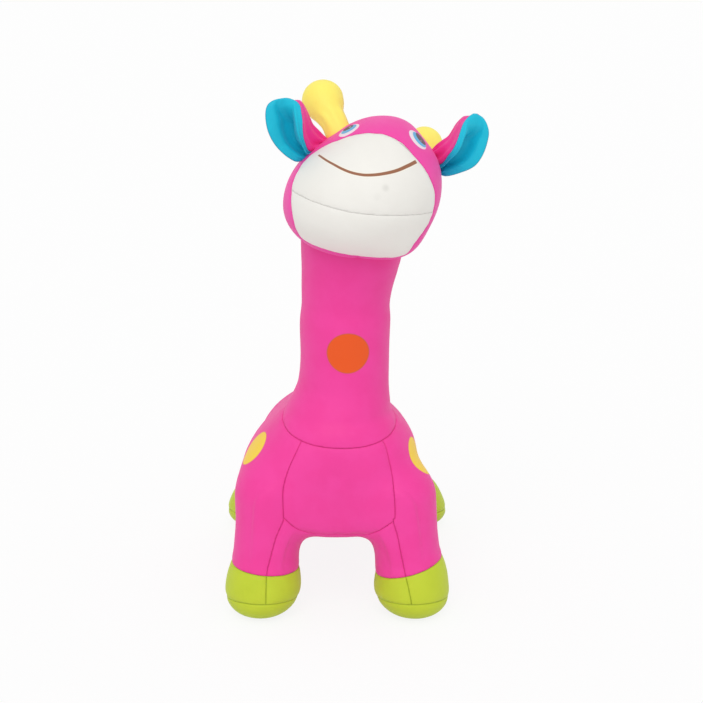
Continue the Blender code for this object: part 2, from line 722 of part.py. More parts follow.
def build():
    clear_scene()
    paints = {
        "pink": material("pink_knit", PINK),
        "white": material("white_knit", WHITE),
        "cyan": material("cyan_knit", CYAN),
        "yellow": material("yellow_knit", YELLOW),
        "green": material("green_knit", GREEN),
        "bead": material("bead_filling", BEAD),
    }
    root = add_body("stand", Vector((STAND_SHIFT_X, STAND_SHIFT_Y, 0.0)))
    neck_body = add_body("neck_bend", Vector((0.0, NECK_Y, NECK_BEND_HEIGHT)), root)
    nod = Vector((NECK_LEAN * HEAD_NOD_LEAN_SHARE, NECK_Y, HEAD_NOD_HEIGHT))
    head_body = add_body("head_nod", nod, neck_body)
    torso, neck, head = torso_form(), neck_form(), head_form()

    torso_rows = even(len(TORSO_SHARES) - 1)
    torso_cutter = solid("torso", torso, torso_rows, even(TORSO_SPOKES), SEAM_GAP)
    torso_cutter = add_object("torso_cutter", torso_cutter, root)
    neck_rows = even(len(NECK_SHARES) - 1)[:NECK_HOLE_ROWS]
    neck_hole = solid("neck", neck, neck_rows, even(NECK_SPOKES), -SKIN_THICKNESS)
    holes = [add_object("neck_hole", neck_hole, root)]
    sweeps = []
    for name, hip, foot, radius in (
        ("leg_front", FRONT_HIP, FRONT_FOOT, FRONT_LEG_RADIUS),
        ("leg_rear", REAR_HIP, REAR_FOOT, REAR_LEG_RADIUS),
    ):
        for end, side in (("left", 1), ("right", -1)):
            hole, swept = add_leg(root, f"{name}_{end}", hip, foot, radius, side, paints, torso_cutter)
            holes.append(hole)
            sweeps += swept
    add_torso(root, paints, torso, holes, sweeps)

    head_rows = even(180 // HEAD_STEP_DEGREES)
    head_spokes = even(HEAD_SPOKES)
    head_cutter = add_object("head_cutter", solid("head", head, head_rows, head_spokes, SEAM_GAP), head_body)
    ear_cutter = add_object("ear_cutter", solid("head", head, head_rows, head_spokes, EAR_SEAT), head_body)
    cutters = add_neck(neck_body, paints, neck, torso_cutter, head_cutter)
    for name, shares, way in (
        ("horn_right", HORN_RIGHT_BALL_SHARES, HORN_RIGHT_WAY),
        ("horn_left", HORN_LEFT_BALL_SHARES, HORN_LEFT_WAY),
    ):
        cutters.append(add_horn(head_body, name, shares, way.normalized(), paints))
    add_head(head_body, paints, head, cutters)
    for name, shares, way, facing in (
        ("ear_right", EAR_RIGHT_ROOT_SHARES, EAR_RIGHT_WAY, EAR_RIGHT_FACING),
        ("ear_left", EAR_LEFT_ROOT_SHARES, EAR_LEFT_WAY, EAR_LEFT_FACING),
    ):
        add_ear(head_body, name, shares, way, facing, paints, ear_cutter)


build()
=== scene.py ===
import math
import bpy
import numpy as np
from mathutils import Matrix, Vector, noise
from mathutils.kdtree import KDTree


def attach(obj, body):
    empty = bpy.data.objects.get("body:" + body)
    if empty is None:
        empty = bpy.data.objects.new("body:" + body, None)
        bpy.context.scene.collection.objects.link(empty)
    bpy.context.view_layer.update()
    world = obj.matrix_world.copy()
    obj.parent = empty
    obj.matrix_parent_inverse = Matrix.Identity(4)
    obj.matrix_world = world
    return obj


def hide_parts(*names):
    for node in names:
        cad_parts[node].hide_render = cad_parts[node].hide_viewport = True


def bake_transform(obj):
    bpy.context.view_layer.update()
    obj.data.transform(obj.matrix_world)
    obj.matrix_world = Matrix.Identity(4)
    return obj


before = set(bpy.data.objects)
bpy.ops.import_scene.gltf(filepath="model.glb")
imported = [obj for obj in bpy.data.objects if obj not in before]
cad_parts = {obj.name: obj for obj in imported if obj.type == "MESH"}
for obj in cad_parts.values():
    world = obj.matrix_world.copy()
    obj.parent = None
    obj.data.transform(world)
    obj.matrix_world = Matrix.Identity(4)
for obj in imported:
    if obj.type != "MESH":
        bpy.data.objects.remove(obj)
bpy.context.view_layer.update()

# The toy is drawn in its own coordinates, in metres: it faces -Y and its left is +X.
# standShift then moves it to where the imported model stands.
standShift = np.array([-0.0120, -0.0030, 0.0])


def beside(*columns):
    return np.column_stack(columns)


def lengths(vectors):
    return np.linalg.norm(vectors, axis=1, keepdims=True)


def unit(vectors):
    return vectors / np.maximum(lengths(vectors), 1e-12)


def treeOf(points):
    tree = KDTree(len(points))
    for i, point in enumerate(points):
        tree.insert(point, i)
    tree.balance()
    return tree


def smoothStep(value, low, high):
    t = np.clip((value - low) / (high - low), 0, 1)
    return t * t * (3 - 2 * t)


def softUnion(a, b, reach):
    h = np.clip(reach - np.abs(a - b), 0, None) / reach
    return np.minimum(a, b) - h * h * reach / 4


def softCut(a, b, reach):
    return -softUnion(-a, -b, reach)


# a smooth curve through (place, value, ...) rows, read at any place
def smoothTable(rows):
    rows = np.array(rows, float)
    padded = np.vstack([2 * rows[0] - rows[1], rows, 2 * rows[-1] - rows[-2]])
    dense = []
    for i in range(len(rows) - 1):
        before, start, end, after = padded[i:i + 4]
        bend = 2 * before - 5 * start + 4 * end - after
        twist = 3 * start - before - 3 * end + after
        for t in np.linspace(0, 1, 24, endpoint=False):
            dense.append(0.5 * (2 * start + (end - before) * t + bend * t ** 2 + twist * t ** 3))
    dense = np.array(dense + [rows[-1]])
    return dense[np.argsort(dense[:, 0], kind="stable")]


def readTable(table, place, column=1):
    return np.interp(place, table[:, 0], table[:, column])


# points on the smooth line through (place, x, y, z) rows
def readLine(rows, places):
    table = smoothTable(rows)
    return beside(*[readTable(table, places, i) for i in (1, 2, 3)])


# Body: the torso, neck and legs are one soft surface, cut later into its sewn panels

torsoShape = {
    "chestY": -0.098,
    "length": 0.223,
    "halfWidth": 0.067,
    "halfHeight": 0.050,
    "height": 0.114,
    "power": 2.3,
    "taper": 0.19,
    "meanRadius": 0.058,
    # how fast the outline shrinks beyond its ends
    "endFall": 20,
    # sideways places of its middle height and of its top
    "lean": (-0.005, -0.0005),
    # length, width, height, rise of the centre, as shares
    "rows": [
        (0, 0, 0, 0.945), (0.02, 0.56, 0.72, 0.95), (0.063, 0.8, 0.89, 0.965), (0.126, 0.94, 0.97, 0.985),
        (0.215, 1, 1, 1), (0.35, 0.97, 0.96, 0.99), (0.53, 0.87, 0.87, 0.955), (0.71, 0.77, 0.765, 0.902),
        (0.84, 0.68, 0.69, 0.88), (0.93, 0.54, 0.55, 0.872), (0.982, 0.32, 0.325, 0.87), (1, 0, 0, 0.87),
    ],
}
neckShape = {
    "y": -0.048,
    "foot": 0.112,
    # where the cloth's upper length starts
    "split": 0.237,
    "blendReach": 0.010,
    # height, radius, lean of the centre to the toy's left
    "rows": [
        (0.11, 0.04, 0), (0.128, 0.0415, -0.0005), (0.143, 0.0425, -0.0005), (0.15, 0.042, 0),
        (0.156, 0.0395, 0.0006), (0.163, 0.0382, 0.0018), (0.171, 0.0358, 0.0034), (0.181, 0.0339, 0.0048),
        (0.2, 0.0332, 0.0056), (0.226, 0.0336, 0.006), (0.24, 0.0326, 0.0063), (0.253, 0.0336, 0.0074),
        (0.267, 0.0356, 0.0094), (0.28, 0.0372, 0.0108), (0.31, 0.0385, 0.012),
    ],
}
legShape = {
    "hem": 0.0405,
    "hoofRadius": 0.0288,
    "soleRound": 0.024,
    "top": 0.058,
    "blendReach": 0.017,
    # the tilt of the hem on the right and the left leg, how much nearer the middle the left hip
    # lies, and how much farther out the right and the left foot stand
    "front": {
        "hip": (0.0505, -0.070, 0.092), "foot": (0.058, -0.076, 0.012), "radius": 0.0252,
        "hemTilt": (0.09, 0.25), "leftIn": 0.0024, "footOut": (0, 0),
    },
    "rear": {
        "hip": (0.040, 0.084, 0.086), "foot": (0.066, 0.107, 0.012), "radius": 0.0235,
        "hemTilt": (0.05, 0.28), "leftIn": 0.0055, "footOut": (0.0025, -0.0010),
    },
    # heights between which the tilt comes in and fades out
    "tiltFrom": (0.012, 0.030),
    "tiltTo": 0.048,
}

torsoRows = np.array(torsoShape["rows"])
shareMean = (torsoRows[:, 1] + torsoRows[:, 2]) / 2
ratios = torsoRows[1:-1, 1:3] / shareMean[1:-1, None]
torsoTable = smoothTable(beside(torsoRows[:, 0], shareMean ** 2, torsoRows[:, 3]))
ratioTable = smoothTable(beside(torsoRows[1:-1, 0], ratios))
neckTable = smoothTable(neckShape["rows"])


def torsoField(p):
    place = (p[:, 1] - torsoShape["chestY"]) / torsoShape["length"]
    square = readTable(torsoTable, place)
    square += (np.minimum(place, 0) - np.maximum(place - 1, 0)) * torsoShape["endFall"]
    halfWidth = torsoShape["halfWidth"] * readTable(ratioTable, place, 1)
    halfHeight = torsoShape["halfHeight"] * readTable(ratioTable, place, 2)
    centre = torsoShape["height"] * readTable(torsoTable, place, 2)
    power = torsoShape["power"]
    height = (p[:, 2] - torsoShape["height"]) / torsoShape["halfHeight"]
    middleLean, topLean = torsoShape["lean"]
    lean = middleLean * np.clip(1 + height, 0, 1) + (topLean - middleLean) * smoothStep(height, 0, 0.6)
    across = np.abs(p[:, 0] - lean) / (halfWidth * (1 - torsoShape["taper"] * np.clip(height, -1.2, 1.2)))
    upward = np.abs(p[:, 2] - centre) / halfHeight
    rho = (across ** power + upward ** power + 1e-12) ** (1 / power)
    step = 0.004
    change = readTable(torsoTable, place + step) - readTable(torsoTable, place - step)
    slope = change / (2 * step * torsoShape["length"])
    steep = np.sqrt((2 * np.maximum(rho, 0.25) / torsoShape["meanRadius"]) ** 2 + slope ** 2)
    return (rho ** 2 - square) / steep


def neckField(p):
    height = p[:, 2]
    away = np.hypot(p[:, 0] - readTable(neckTable, height, 2), p[:, 1] - neckShape["y"])
    return np.maximum(away - readTable(neckTable, height), neckShape["foot"] - height)


def legAxis(leg, side, height):
    hip, foot = np.array(leg["hip"]), np.array(leg["foot"])
    hip[0] -= leg["leftIn"] * (side > 0)
    foot[0] += leg["footOut"][side > 0]
    share = np.clip((hip[2] - height) / (hip[2] - foot[2]), 0, 1.1)
    return side * (hip[0] + (foot[0] - hip[0]) * share), hip[1] + (foot[1] - hip[1]) * share


def legRadii(leg):
    r, hoof, hem = leg["radius"], legShape["hoofRadius"], legShape["hem"]
    shares = ((-0.010, 0.88), (0.0, 0.93), (0.012, 0.985), (0.022, 1.0), (0.031, 0.975))
    rows = [(height, hoof * share) for height, share in shares]
    return smoothTable(rows + [(hem, r + 0.0012), (hem + 0.008, r), (0.060, r * 0.985), (leg["hip"][2], r)])


for leg in (legShape["front"], legShape["rear"]):
    leg["radii"] = legRadii(leg)
    run = math.dist(leg["hip"][:2], leg["foot"][:2])
    leg["slope"] = math.cos(math.atan2(run, leg["hip"][2] - leg["foot"][2]))


# height measured from a hem that tilts across the leg
def hemHeight(p, leg, side):
    x, _ = legAxis(leg, side, p[:, 2])
    fade = 1 - smoothStep(p[:, 2], legShape["tiltTo"], legShape["top"])
    tilt = leg["hemTilt"][side > 0] * smoothStep(p[:, 2], *legShape["tiltFrom"]) * fade
    return p[:, 2] - tilt * side * (p[:, 0] - x)


def legField(p, leg, side):
    x, y = legAxis(leg, side, p[:, 2])
    above = np.maximum(p[:, 2] - leg["hip"][2], 0)
    away = np.sqrt((p[:, 0] - x) ** 2 + (p[:, 1] - y) ** 2 + above ** 2)
    tube = (away - readTable(leg["radii"], hemHeight(p, leg, side))) * leg["slope"]
    return softCut(tube, -p[:, 2], legShape["soleRound"])


legs = {}
for end in ("front", "rear"):
    for hand, side in (("right", -1), ("left", 1)):
        legs[f"leg_{end}_{hand}"] = (legShape[end], side)


def bodyField(p):
    allLegs = np.min([legField(p, leg, side) for leg, side in legs.values()], axis=0)
    torso = softUnion(torsoField(p), allLegs, legShape["blendReach"])
    return softUnion(torso, neckField(p), neckShape["blendReach"])


# Head: an egg round the axis of the face, leaning with its crown to the toy's left
headShape = {
    "centre": np.array([0.019, -0.062, 0.328]),
    "halves": np.array([0.057, 0.064, 0.0507]),
    "rise": 0.0038,
    "lean": 0.16,
    "crownBend": 0.0065,
    "jawBend": 0.0035,
    "taper": 0.06,
    "meanRadius": 0.055,
    # how far the sides draw in near the crown, at what height and over how much
    "pinch": (0.10, 0.80, 0.25),
    "elevation": math.radians(2),
    # the jaw swells at the toy's left: how much, how widely and which way from the centre
    "swell": (0.13, 0.06, np.array([0.505, 0.354, -0.788])),
}


def headBend(up):
    return np.where(up > 0, headShape["crownBend"], headShape["jawBend"]) * up ** 2


def headWidth(up):
    depth, middle, reach = headShape["pinch"]
    return headShape["halves"][0] * (1 - headShape["taper"] * up - depth * np.exp(-((up - middle) / reach) ** 2))


def headSwell(q):
    depth, reach, way = headShape["swell"]
    turned = (q @ way)[:, None] / np.maximum(lengths(q), 1e-9)
    return 1 + depth * np.exp((turned - 1) / reach)


def toHead(p):
    halves, rise = headShape["halves"], headShape["rise"]
    c, s = math.cos(headShape["elevation"]), math.sin(headShape["elevation"])
    away = p - headShape["centre"]
    ahead = -away[:, 1] * c + away[:, 2] * s
    up = away[:, 1] * s + away[:, 2] * c
    up = (np.sqrt(np.maximum(halves[2] ** 2 + 4 * rise * up, 0)) - halves[2]) / (2 * rise)
    x = away[:, 0] - headShape["lean"] * away[:, 2] - headBend(up)
    q = beside(x / headWidth(up), ahead / halves[1], up)
    return q / headSwell(q)


def fromHead(q):
    halves = headShape["halves"]
    c, s = math.cos(headShape["elevation"]), math.sin(headShape["elevation"])
    q = q * headSwell(q)
    ahead, up = q[:, 1] * halves[1], q[:, 2] * halves[2] + headShape["rise"] * q[:, 2] ** 2
    y = -ahead * c + up * s
    z = ahead * s + up * c
    x = q[:, 0] * headWidth(q[:, 2]) + headShape["lean"] * z + headBend(q[:, 2])
    return headShape["centre"] + beside(x, y, z)


def headField(p):
    return (lengths(toHead(p))[:, 0] - 1) * headShape["meanRadius"]


# Turns a field's zero surface on a grid into quads: one point for each cell that it crosses
def surfaceNet(field, low, high, step):
    counts = [int(round((b - a) / step)) + 1 for a, b in zip(low, high)]
    lines = [a + step * np.arange(n) for a, n in zip(low, counts)]
    grid = np.stack(np.meshgrid(*lines, indexing="ij"), axis=-1).reshape(-1, 3)
    values = field(grid).reshape(counts)
    total = np.zeros([n - 1 for n in counts] + [3])
    hits = np.zeros([n - 1 for n in counts])
    crossings = []

    # the four cells round each crossed edge, in turn
    def cellsRound(where, sides):
        for shift in ((1, 1), (0, 1), (0, 0), (1, 0)):
            cell = where.copy()
            cell[:, sides] -= shift
            yield cell

    for axis in range(3):
        a, b = np.split(values, [-1], axis)[0], np.split(values, [1], axis)[1]
        where = np.argwhere((a < 0) != (b < 0))
        one, other = a[tuple(where.T)], b[tuple(where.T)]
        place = where.astype(float)
        place[:, axis] += one / (one - other)
        sides = [i for i in range(3) if i != axis]
        crossings.append((axis, sides, where, one < 0))
        for cell in cellsRound(where, sides):
            inside = np.all((cell >= 0) & (cell < hits.shape), axis=1)
            index = tuple(cell[inside].T)
            np.add.at(total, index, place[inside])
            np.add.at(hits, index, 1)
    active = hits > 0
    ids = -np.ones(hits.shape, int)
    ids[active] = np.arange(active.sum())
    points = np.array(low) + step * total[active] / hits[active][:, None]
    faces = []
    for axis, sides, where, rising in crossings:
        usable = np.all((where[:, sides] > 0) & (where[:, sides] < np.array(hits.shape)[sides]), axis=1)
        where, rising = where[usable], rising[usable]
        quads = beside(*[ids[tuple(cell.T)] for cell in cellsRound(where, sides)])
        flip = rising if axis != 1 else ~rising
        quads[~flip] = quads[~flip][:, ::-1]
        faces.append(quads)
    return points, np.vstack(faces)


def directions(field, points, step=0.0004):
    slope = beside(*[field(points + step * a) - field(points - step * a) for a in np.eye(3)])
    return slope / (2 * step), unit(slope)


# the move along a slope that undoes a value, no longer than its limit
def movement(slope, value, least, limit):
    move = slope * value[:, None] / np.maximum(np.sum(slope ** 2, axis=1, keepdims=True), least)
    return move * np.minimum(1, limit / np.maximum(lengths(move), 1e-9))


def settle(field, points, rounds=2):
    for _ in range(rounds):
        points = points - movement(directions(field, points)[0], field(points), 0.05, 0.002)
    return points


def edgesOf(faces):
    corners = [faces[:, [i, (i + 1) % 4]] for i in range(4)]
    pairs = np.sort(np.vstack(corners), axis=1)
    pairs = pairs[pairs[:, 0] != pairs[:, 1]]
    return np.unique(pairs, axis=0)


def relax(field, points, faces, rounds):
    edges = edgesOf(faces)
    degree = np.bincount(edges.ravel(), minlength=len(points))[:, None]
    for _ in range(rounds):
        total = np.zeros_like(points)
        np.add.at(total, edges[:, 0], points[edges[:, 1]])
        np.add.at(total, edges[:, 1], points[edges[:, 0]])
        points = settle(field, points * 0.4 + 0.6 * total / np.maximum(degree, 1), 1)
    return points


# Every quad becomes four
def quarter(points, faces):
    edges = edgesOf(faces)
    first = len(points)
    key = edges[:, 0] * (first + 1) + edges[:, 1]
    middles = (points[edges[:, 0]] + points[edges[:, 1]]) / 2
    centres = points[faces].mean(axis=1)
    centreIds = first + len(edges) + np.arange(len(faces))

    def middle(a, b):
        low, high = np.minimum(a, b), np.maximum(a, b)
        return first + np.searchsorted(key, low * (first + 1) + high)

    sides = [middle(faces[:, i], faces[:, (i + 1) % 4]) for i in range(4)]
    made = [beside(faces[:, i], sides[i], centreIds, sides[i - 1]) for i in range(4)]
    return np.vstack([points, middles, centres]), np.vstack(made)


# A triangle is a quad whose last corner repeats its third.
class Skin:
    def __init__(self, field, points, faces):
        self.field, self.points, self.faces = field, points, faces
        self.locked = np.zeros(len(points), bool)

    # Moves points onto a line on the surface where line(p) is 0, so that no face crosses it
    def cutAlong(self, line, within=None):
        inside = np.ones(len(self.points), bool) if within is None else within(self.points)
        edges = edgesOf(self.faces)
        edges = edges[inside[edges].all(axis=1)]
        value = line(self.points)
        crossing = edges[(value[edges[:, 0]] < 0) != (value[edges[:, 1]] < 0)]
        weight = np.abs(value) * np.where(self.locked, 2.5, 1.0)
        nearer = np.where(weight[crossing[:, 0]] < weight[crossing[:, 1]], crossing[:, 0], crossing[:, 1])
        chosen = np.unique(nearer)
        moved = self.points[chosen]
        for _ in range(3):
            _, normal = directions(self.field, moved)
            lineSlope, _ = directions(line, moved, 0.0003)
            lineSlope -= normal * np.sum(lineSlope * normal, axis=1, keepdims=True)
            moved = settle(self.field, moved - movement(lineSlope, line(moved), 0.02, 0.0012), 1)
        self.points[chosen] = moved
        value = line(self.points)
        value[chosen] = 0
        self.locked[chosen] = True
        sign = np.sign(value) * inside
        corner = sign[self.faces]
        mixed = (corner.max(axis=1) > 0) & (corner.min(axis=1) < 0)
        quads = self.faces[mixed]
        corner = corner[mixed]
        result = [self.faces[~mixed]]
        for a in (0, 1):
            even = (corner[:, a] == 0) & (corner[:, a + 2] == 0)
            b, c, d = (a + 1) % 4, (a + 2) % 4, (a + 3) % 4
            result += [quads[even][:, [a, b, c, c]], quads[even][:, [a, c, d, d]]]
            quads, corner = quads[~even], corner[~even]
        result.append(quads)
        self.faces = np.vstack(result)

    def centres(self):
        return self.points[self.faces].mean(axis=1)


print("scene: body surface")
bodyNet = surfaceNet(bodyField, (-0.099, -0.114, -0.006), (0.099, 0.147, 0.306), 0.003)
bodyPoints = relax(bodyField, *bodyNet, 3)
bodyPoints, bodyFaces = quarter(bodyPoints, bodyNet[1])
body = Skin(bodyField, settle(bodyField, bodyPoints), bodyFaces)
print("scene: body has", len(bodyFaces), "faces")


# Seams of the body. Where two rows of numbers stand side by side, the toy's right comes first.
bodySeams = {
    # height of the neck's seam: mean, front to back, twice round, to the toy's left
    "neck": (0.1522, -0.0095, -0.0018, -0.0022),
    # height, half width of the chest on each side, and on down the front of each leg
    "chestEdges": [
        (-0.01, 0.0555, 0.0575), (0.019, 0.054, 0.056), (0.0405, 0.0532, 0.0514), (0.0533, 0.0505, 0.0487),
        (0.071, 0.0457, 0.0454), (0.0835, 0.0405, 0.042), (0.088, 0.0402, 0.0433), (0.108, 0.0403, 0.0424),
        (0.124, 0.0363, 0.0401), (0.1437, 0.0273, 0.0352), (0.16, 0.021, 0.029),
    ],
    # the chest's lower edge: place across, height
    "chestFoot": [
        (-0.06, 0.105), (-0.0405, 0.0866), (-0.031, 0.0773), (-0.0205, 0.072), (-0.0017, 0.0712),
        (0.0209, 0.0706), (0.0262, 0.0722), (0.0418, 0.0835), (0.06, 0.099),
    ],
    # the gusset under the belly: place along, half width
    "gusset": [
        (-0.11, 0.046), (-0.05, 0.046), (-0.03, 0.04), (0, 0.035), (0.04, 0.033), (0.07, 0.037),
        (0.1, 0.037), (0.13, 0.03),
    ],
    # the height where the gusset closes, and the height over which it does
    "gussetTop": (0.100, 0.030),
    # height of the sole's seam: mean, front to back
    "sole": (0.0150, 0.0035),
    # the neck's seam follows the crease behind it between these places
    "nape": (-0.052, -0.024),
    # how near a leg the seam runs down it, and at what heights it joins the leg
    "legNear": (0.002, 0.016),
    "legJoin": (0.070, 0.098),
    # places along between which the chest's edges give way to the gusset's
    "chestEnd": (-0.086, -0.070),
}
chestEdges = smoothTable(bodySeams["chestEdges"])
chestFoot = smoothTable(bodySeams["chestFoot"])
gussetEdges = smoothTable(bodySeams["gusset"])


# positive on the torso's side of the neck's seam
def neckSeam(p):
    x, y, z = p.T
    turn = np.arctan2(x, neckShape["y"] - y)
    mean, along, twice, across = bodySeams["neck"]
    below = mean + along * np.cos(turn) + twice * np.cos(2 * turn) + across * np.sin(turn) - z
    crease = neckField(p) - torsoField(p)
    return below + (crease - below) * smoothStep(y, *bodySeams["nape"])


def nearNeck(p):
    return (np.hypot(p[:, 0], p[:, 1] - neckShape["y"]) < 0.075) & (p[:, 2] > 0.12)


# positive outside the seam that runs from the chest down each leg, under the belly and up the back
def sideSeam(side):
    def line(p):
        x, y, z = p.T
        top, reach = bodySeams["gussetTop"]
        rise = np.clip((top - z) / reach, 0, 1)
        edge = readTable(gussetEdges, y) * rise * (2 - rise)
        for leg in (legShape["front"], legShape["rear"]):
            legX, legY = legAxis(leg, side, z)
            away = np.hypot(x - legX, y - legY) - readTable(leg["radii"], z)
            near = 1 - smoothStep(away, *bodySeams["legNear"])
            near = near * (1 - smoothStep(z, *bodySeams["legJoin"]))
            edge = edge + (side * legX - edge) * near
        chest = readTable(chestEdges, z, 1 if side < 0 else 2)
        edge = edge + (chest - edge) * (1 - smoothStep(y, *bodySeams["chestEnd"]))
        return side * x - edge
    return line


def chestSeam(p):
    return p[:, 2] - readTable(chestFoot, p[:, 0])


def soleSeam(leg, side):
    def line(p):
        _, y = legAxis(leg, side, p[:, 2])
        mean, along = bodySeams["sole"]
        return p[:, 2] - mean - along * (y - p[:, 1]) / legShape["hoofRadius"]
    return line


def isLeg(p, leg, side):
    ahead = p[:, 1] < 0.010 if leg is legShape["front"] else p[:, 1] >= 0.010
    return (p[:, 2] < legShape["top"] + 0.0001) & (p[:, 0] * side > 0) & ahead


print("scene: body seams")
leftSeam, rightSeam = sideSeam(1), sideSeam(-1)
body.cutAlong(neckSeam, nearNeck)
body.cutAlong(lambda p: p[:, 2] - neckShape["split"], lambda p: p[:, 2] > 0.2)
body.cutAlong(lambda p: p[:, 2] - legShape["top"])
for side, seam in ((1, leftSeam), (-1, rightSeam)):
    body.cutAlong(seam, lambda p: (p[:, 0] * side > -0.004) & ((neckSeam(p) > -0.0015) | ~nearNeck(p)))
body.cutAlong(chestSeam, lambda p: (p[:, 1] < -0.05) & (leftSeam(p) < 0.0004) & (rightSeam(p) < 0.0004))
for leg, side in legs.values():
    body.cutAlong(lambda p: hemHeight(p, leg, side) - legShape["hem"], lambda p: isLeg(p, leg, side))
    body.cutAlong(soleSeam(leg, side), lambda p: isLeg(p, leg, side))

# name of each piece: its faces and the length of cloth it belongs to
middle = body.centres()
onNeck = nearNeck(middle) & (neckSeam(middle) < 0) | (middle[:, 2] > 0.2)
onLeft, onRight = leftSeam(middle) > 0, rightSeam(middle) > 0
bodyLabels = np.full(len(middle), -1)
bodyPieces = []


def label(name, cloth, mask):
    bodyLabels[mask & (bodyLabels < 0)] = len(bodyPieces)
    bodyPieces.append((name, cloth))


label("neck_upper", "neck", onNeck & (middle[:, 2] > neckShape["split"]))
label("neck_lower", "neck", onNeck)
for name, (leg, side) in legs.items():
    mine = isLeg(middle, leg, side)
    outer = onLeft if side > 0 else onRight
    hoof = hemHeight(middle, leg, side) < legShape["hem"]
    label(name + "_sole", name + "_sole", mine & (soleSeam(leg, side)(middle) < 0))
    label(name + "_hoof_outer", name + "_hoof_outer", mine & hoof & outer)
    label(name + "_hoof_inner", name + "_hoof_inner", mine & hoof)
    label(name + "_outer", "left" if side > 0 else "right", mine & outer)
    label(name + "_inner", "gusset", mine)
label("side_panel_left", "left", onLeft)
label("side_panel_right", "right", onRight)
label("chest_panel", "chest", (middle[:, 1] < -0.05) & (chestSeam(middle) > 0))
label("belly_panel", "gusset", middle[:, 2] > -1)


# Cuts a skin into closed pieces of cloth: the cloth, a lip turned in along every seam, and the inside
clothShape = {"thickness": 0.0012, "lip": 0.00020, "sink": 0.0004, "gap": 0.00006}


def vertexNormals(points, faces):
    a, b, c, d = (points[faces[:, i]] for i in range(4))
    flat = np.cross(c - a, d - b) + np.where((faces[:, 2] == faces[:, 3])[:, None], np.cross(b - a, c - a), 0)
    total = np.zeros_like(points)
    for i in range(4):
        np.add.at(total, faces[:, i], flat)
    return unit(total), unit(flat)


# every side of every face, its face, and the face across it or -1
def neighbours(faces, size):
    start, end = faces.ravel(), np.roll(faces, -1, axis=1).ravel()
    owner = np.repeat(np.arange(len(faces)), 4)
    key = np.minimum(start, end) * size + np.maximum(start, end)
    order = np.argsort(key, kind="stable")
    order = order[(start != end)[order]]
    start, end, owner, key = start[order], end[order], owner[order], key[order]
    other = np.full(len(key), -1)
    pair = np.flatnonzero(key[:-1] == key[1:])
    other[pair], other[pair + 1] = owner[pair + 1], owner[pair]
    return start, end, owner, other


def sew(skin, labels, pieces, relief, extraMarks=None, seamSize=1.0, thickness=clothShape["thickness"]):
    points, faces = skin.points, skin.faces
    cloths = np.unique([cloth for _, cloth in pieces], return_inverse=True)[1]
    start, end, owner, other = neighbours(faces, len(points))
    inner = other >= 0
    seam = inner & (cloths[labels[owner]] != cloths[labels[other]])
    split = (~inner | (labels[owner] != labels[other])) & ~seam
    marks = np.vstack([points[start[seam]], (points[start[seam]] + points[end[seam]]) / 2])
    if extraMarks is not None:
        marks = np.vstack([marks, extraMarks])
    tree = treeOf(marks)
    seamNear = np.array([min(tree.find(p)[2], 0.03) for p in points])
    normal, _ = vertexNormals(points, faces)
    bent = points + normal * relief(points, seamNear)[:, None]
    smooth, flat = vertexNormals(bent, faces)
    made = {}
    lip, sink = clothShape["lip"] * seamSize, clothShape["sink"] * seamSize
    for index, (name, _) in enumerate(pieces):
        mine = faces[labels == index]
        used, local = np.unique(mine, return_inverse=True)
        local = local.reshape(mine.shape)
        where = np.full(len(points), -1)
        where[used] = np.arange(len(used))
        edge = seam & (labels[owner] == index)
        a, b = start[edge], end[edge]
        inward = np.zeros_like(points)
        turn = unit(np.cross(flat[owner[edge]], bent[b] - bent[a]))
        np.add.at(inward, a, turn)
        np.add.at(inward, b, turn)
        inward = unit(inward)
        lipIds = np.unique(np.concatenate([a, b]))
        lipAt = np.full(len(points), -1)
        lipAt[lipIds] = len(used) + np.arange(len(lipIds))
        outer = bent[used] + inward[used] * lip
        lips = bent[lipIds] - smooth[lipIds] * sink + inward[lipIds] * clothShape["gap"]
        shown = np.vstack([local, beside(where[b], where[a], lipAt[a], lipAt[b])])
        under = outer - smooth[used] * thickness
        lipUnder = lips - smooth[lipIds] * thickness * 0.4 + inward[lipIds] * thickness * 0.5
        size = len(used) + len(lipIds)
        s, e, _, twin = neighbours(shown, size)
        free = twin < 0
        s, e = s[free], e[free]
        ids = np.concatenate([used, lipIds])
        cut = split & (labels[owner] == index)
        onCut = np.zeros(len(points), bool)
        onCut[start[cut]] = onCut[end[cut]] = True
        keep = np.zeros((size, 3))
        shared = onCut[used] & (lipAt[used] < 0)
        keep[:len(used)][shared] = smooth[used][shared]
        near = seamNear[ids].copy()
        near[len(used):] = -0.0005
        made[name] = {
            "points": np.vstack([outer, lips, under, lipUnder]),
            "faces": np.vstack([shown, shown[:, ::-1] + size, beside(e, s, s + size, e + size)]),
            "rest": np.vstack([points[ids], points[ids]]),
            "near": np.concatenate([near, near]),
            "normals": keep,
            "shown": len(shown),
            "rim": beside(s, e),
        }
    return made


def addObject(name, data):
    made = bpy.data.objects.new(name, data)
    bpy.context.scene.collection.objects.link(made)
    return made


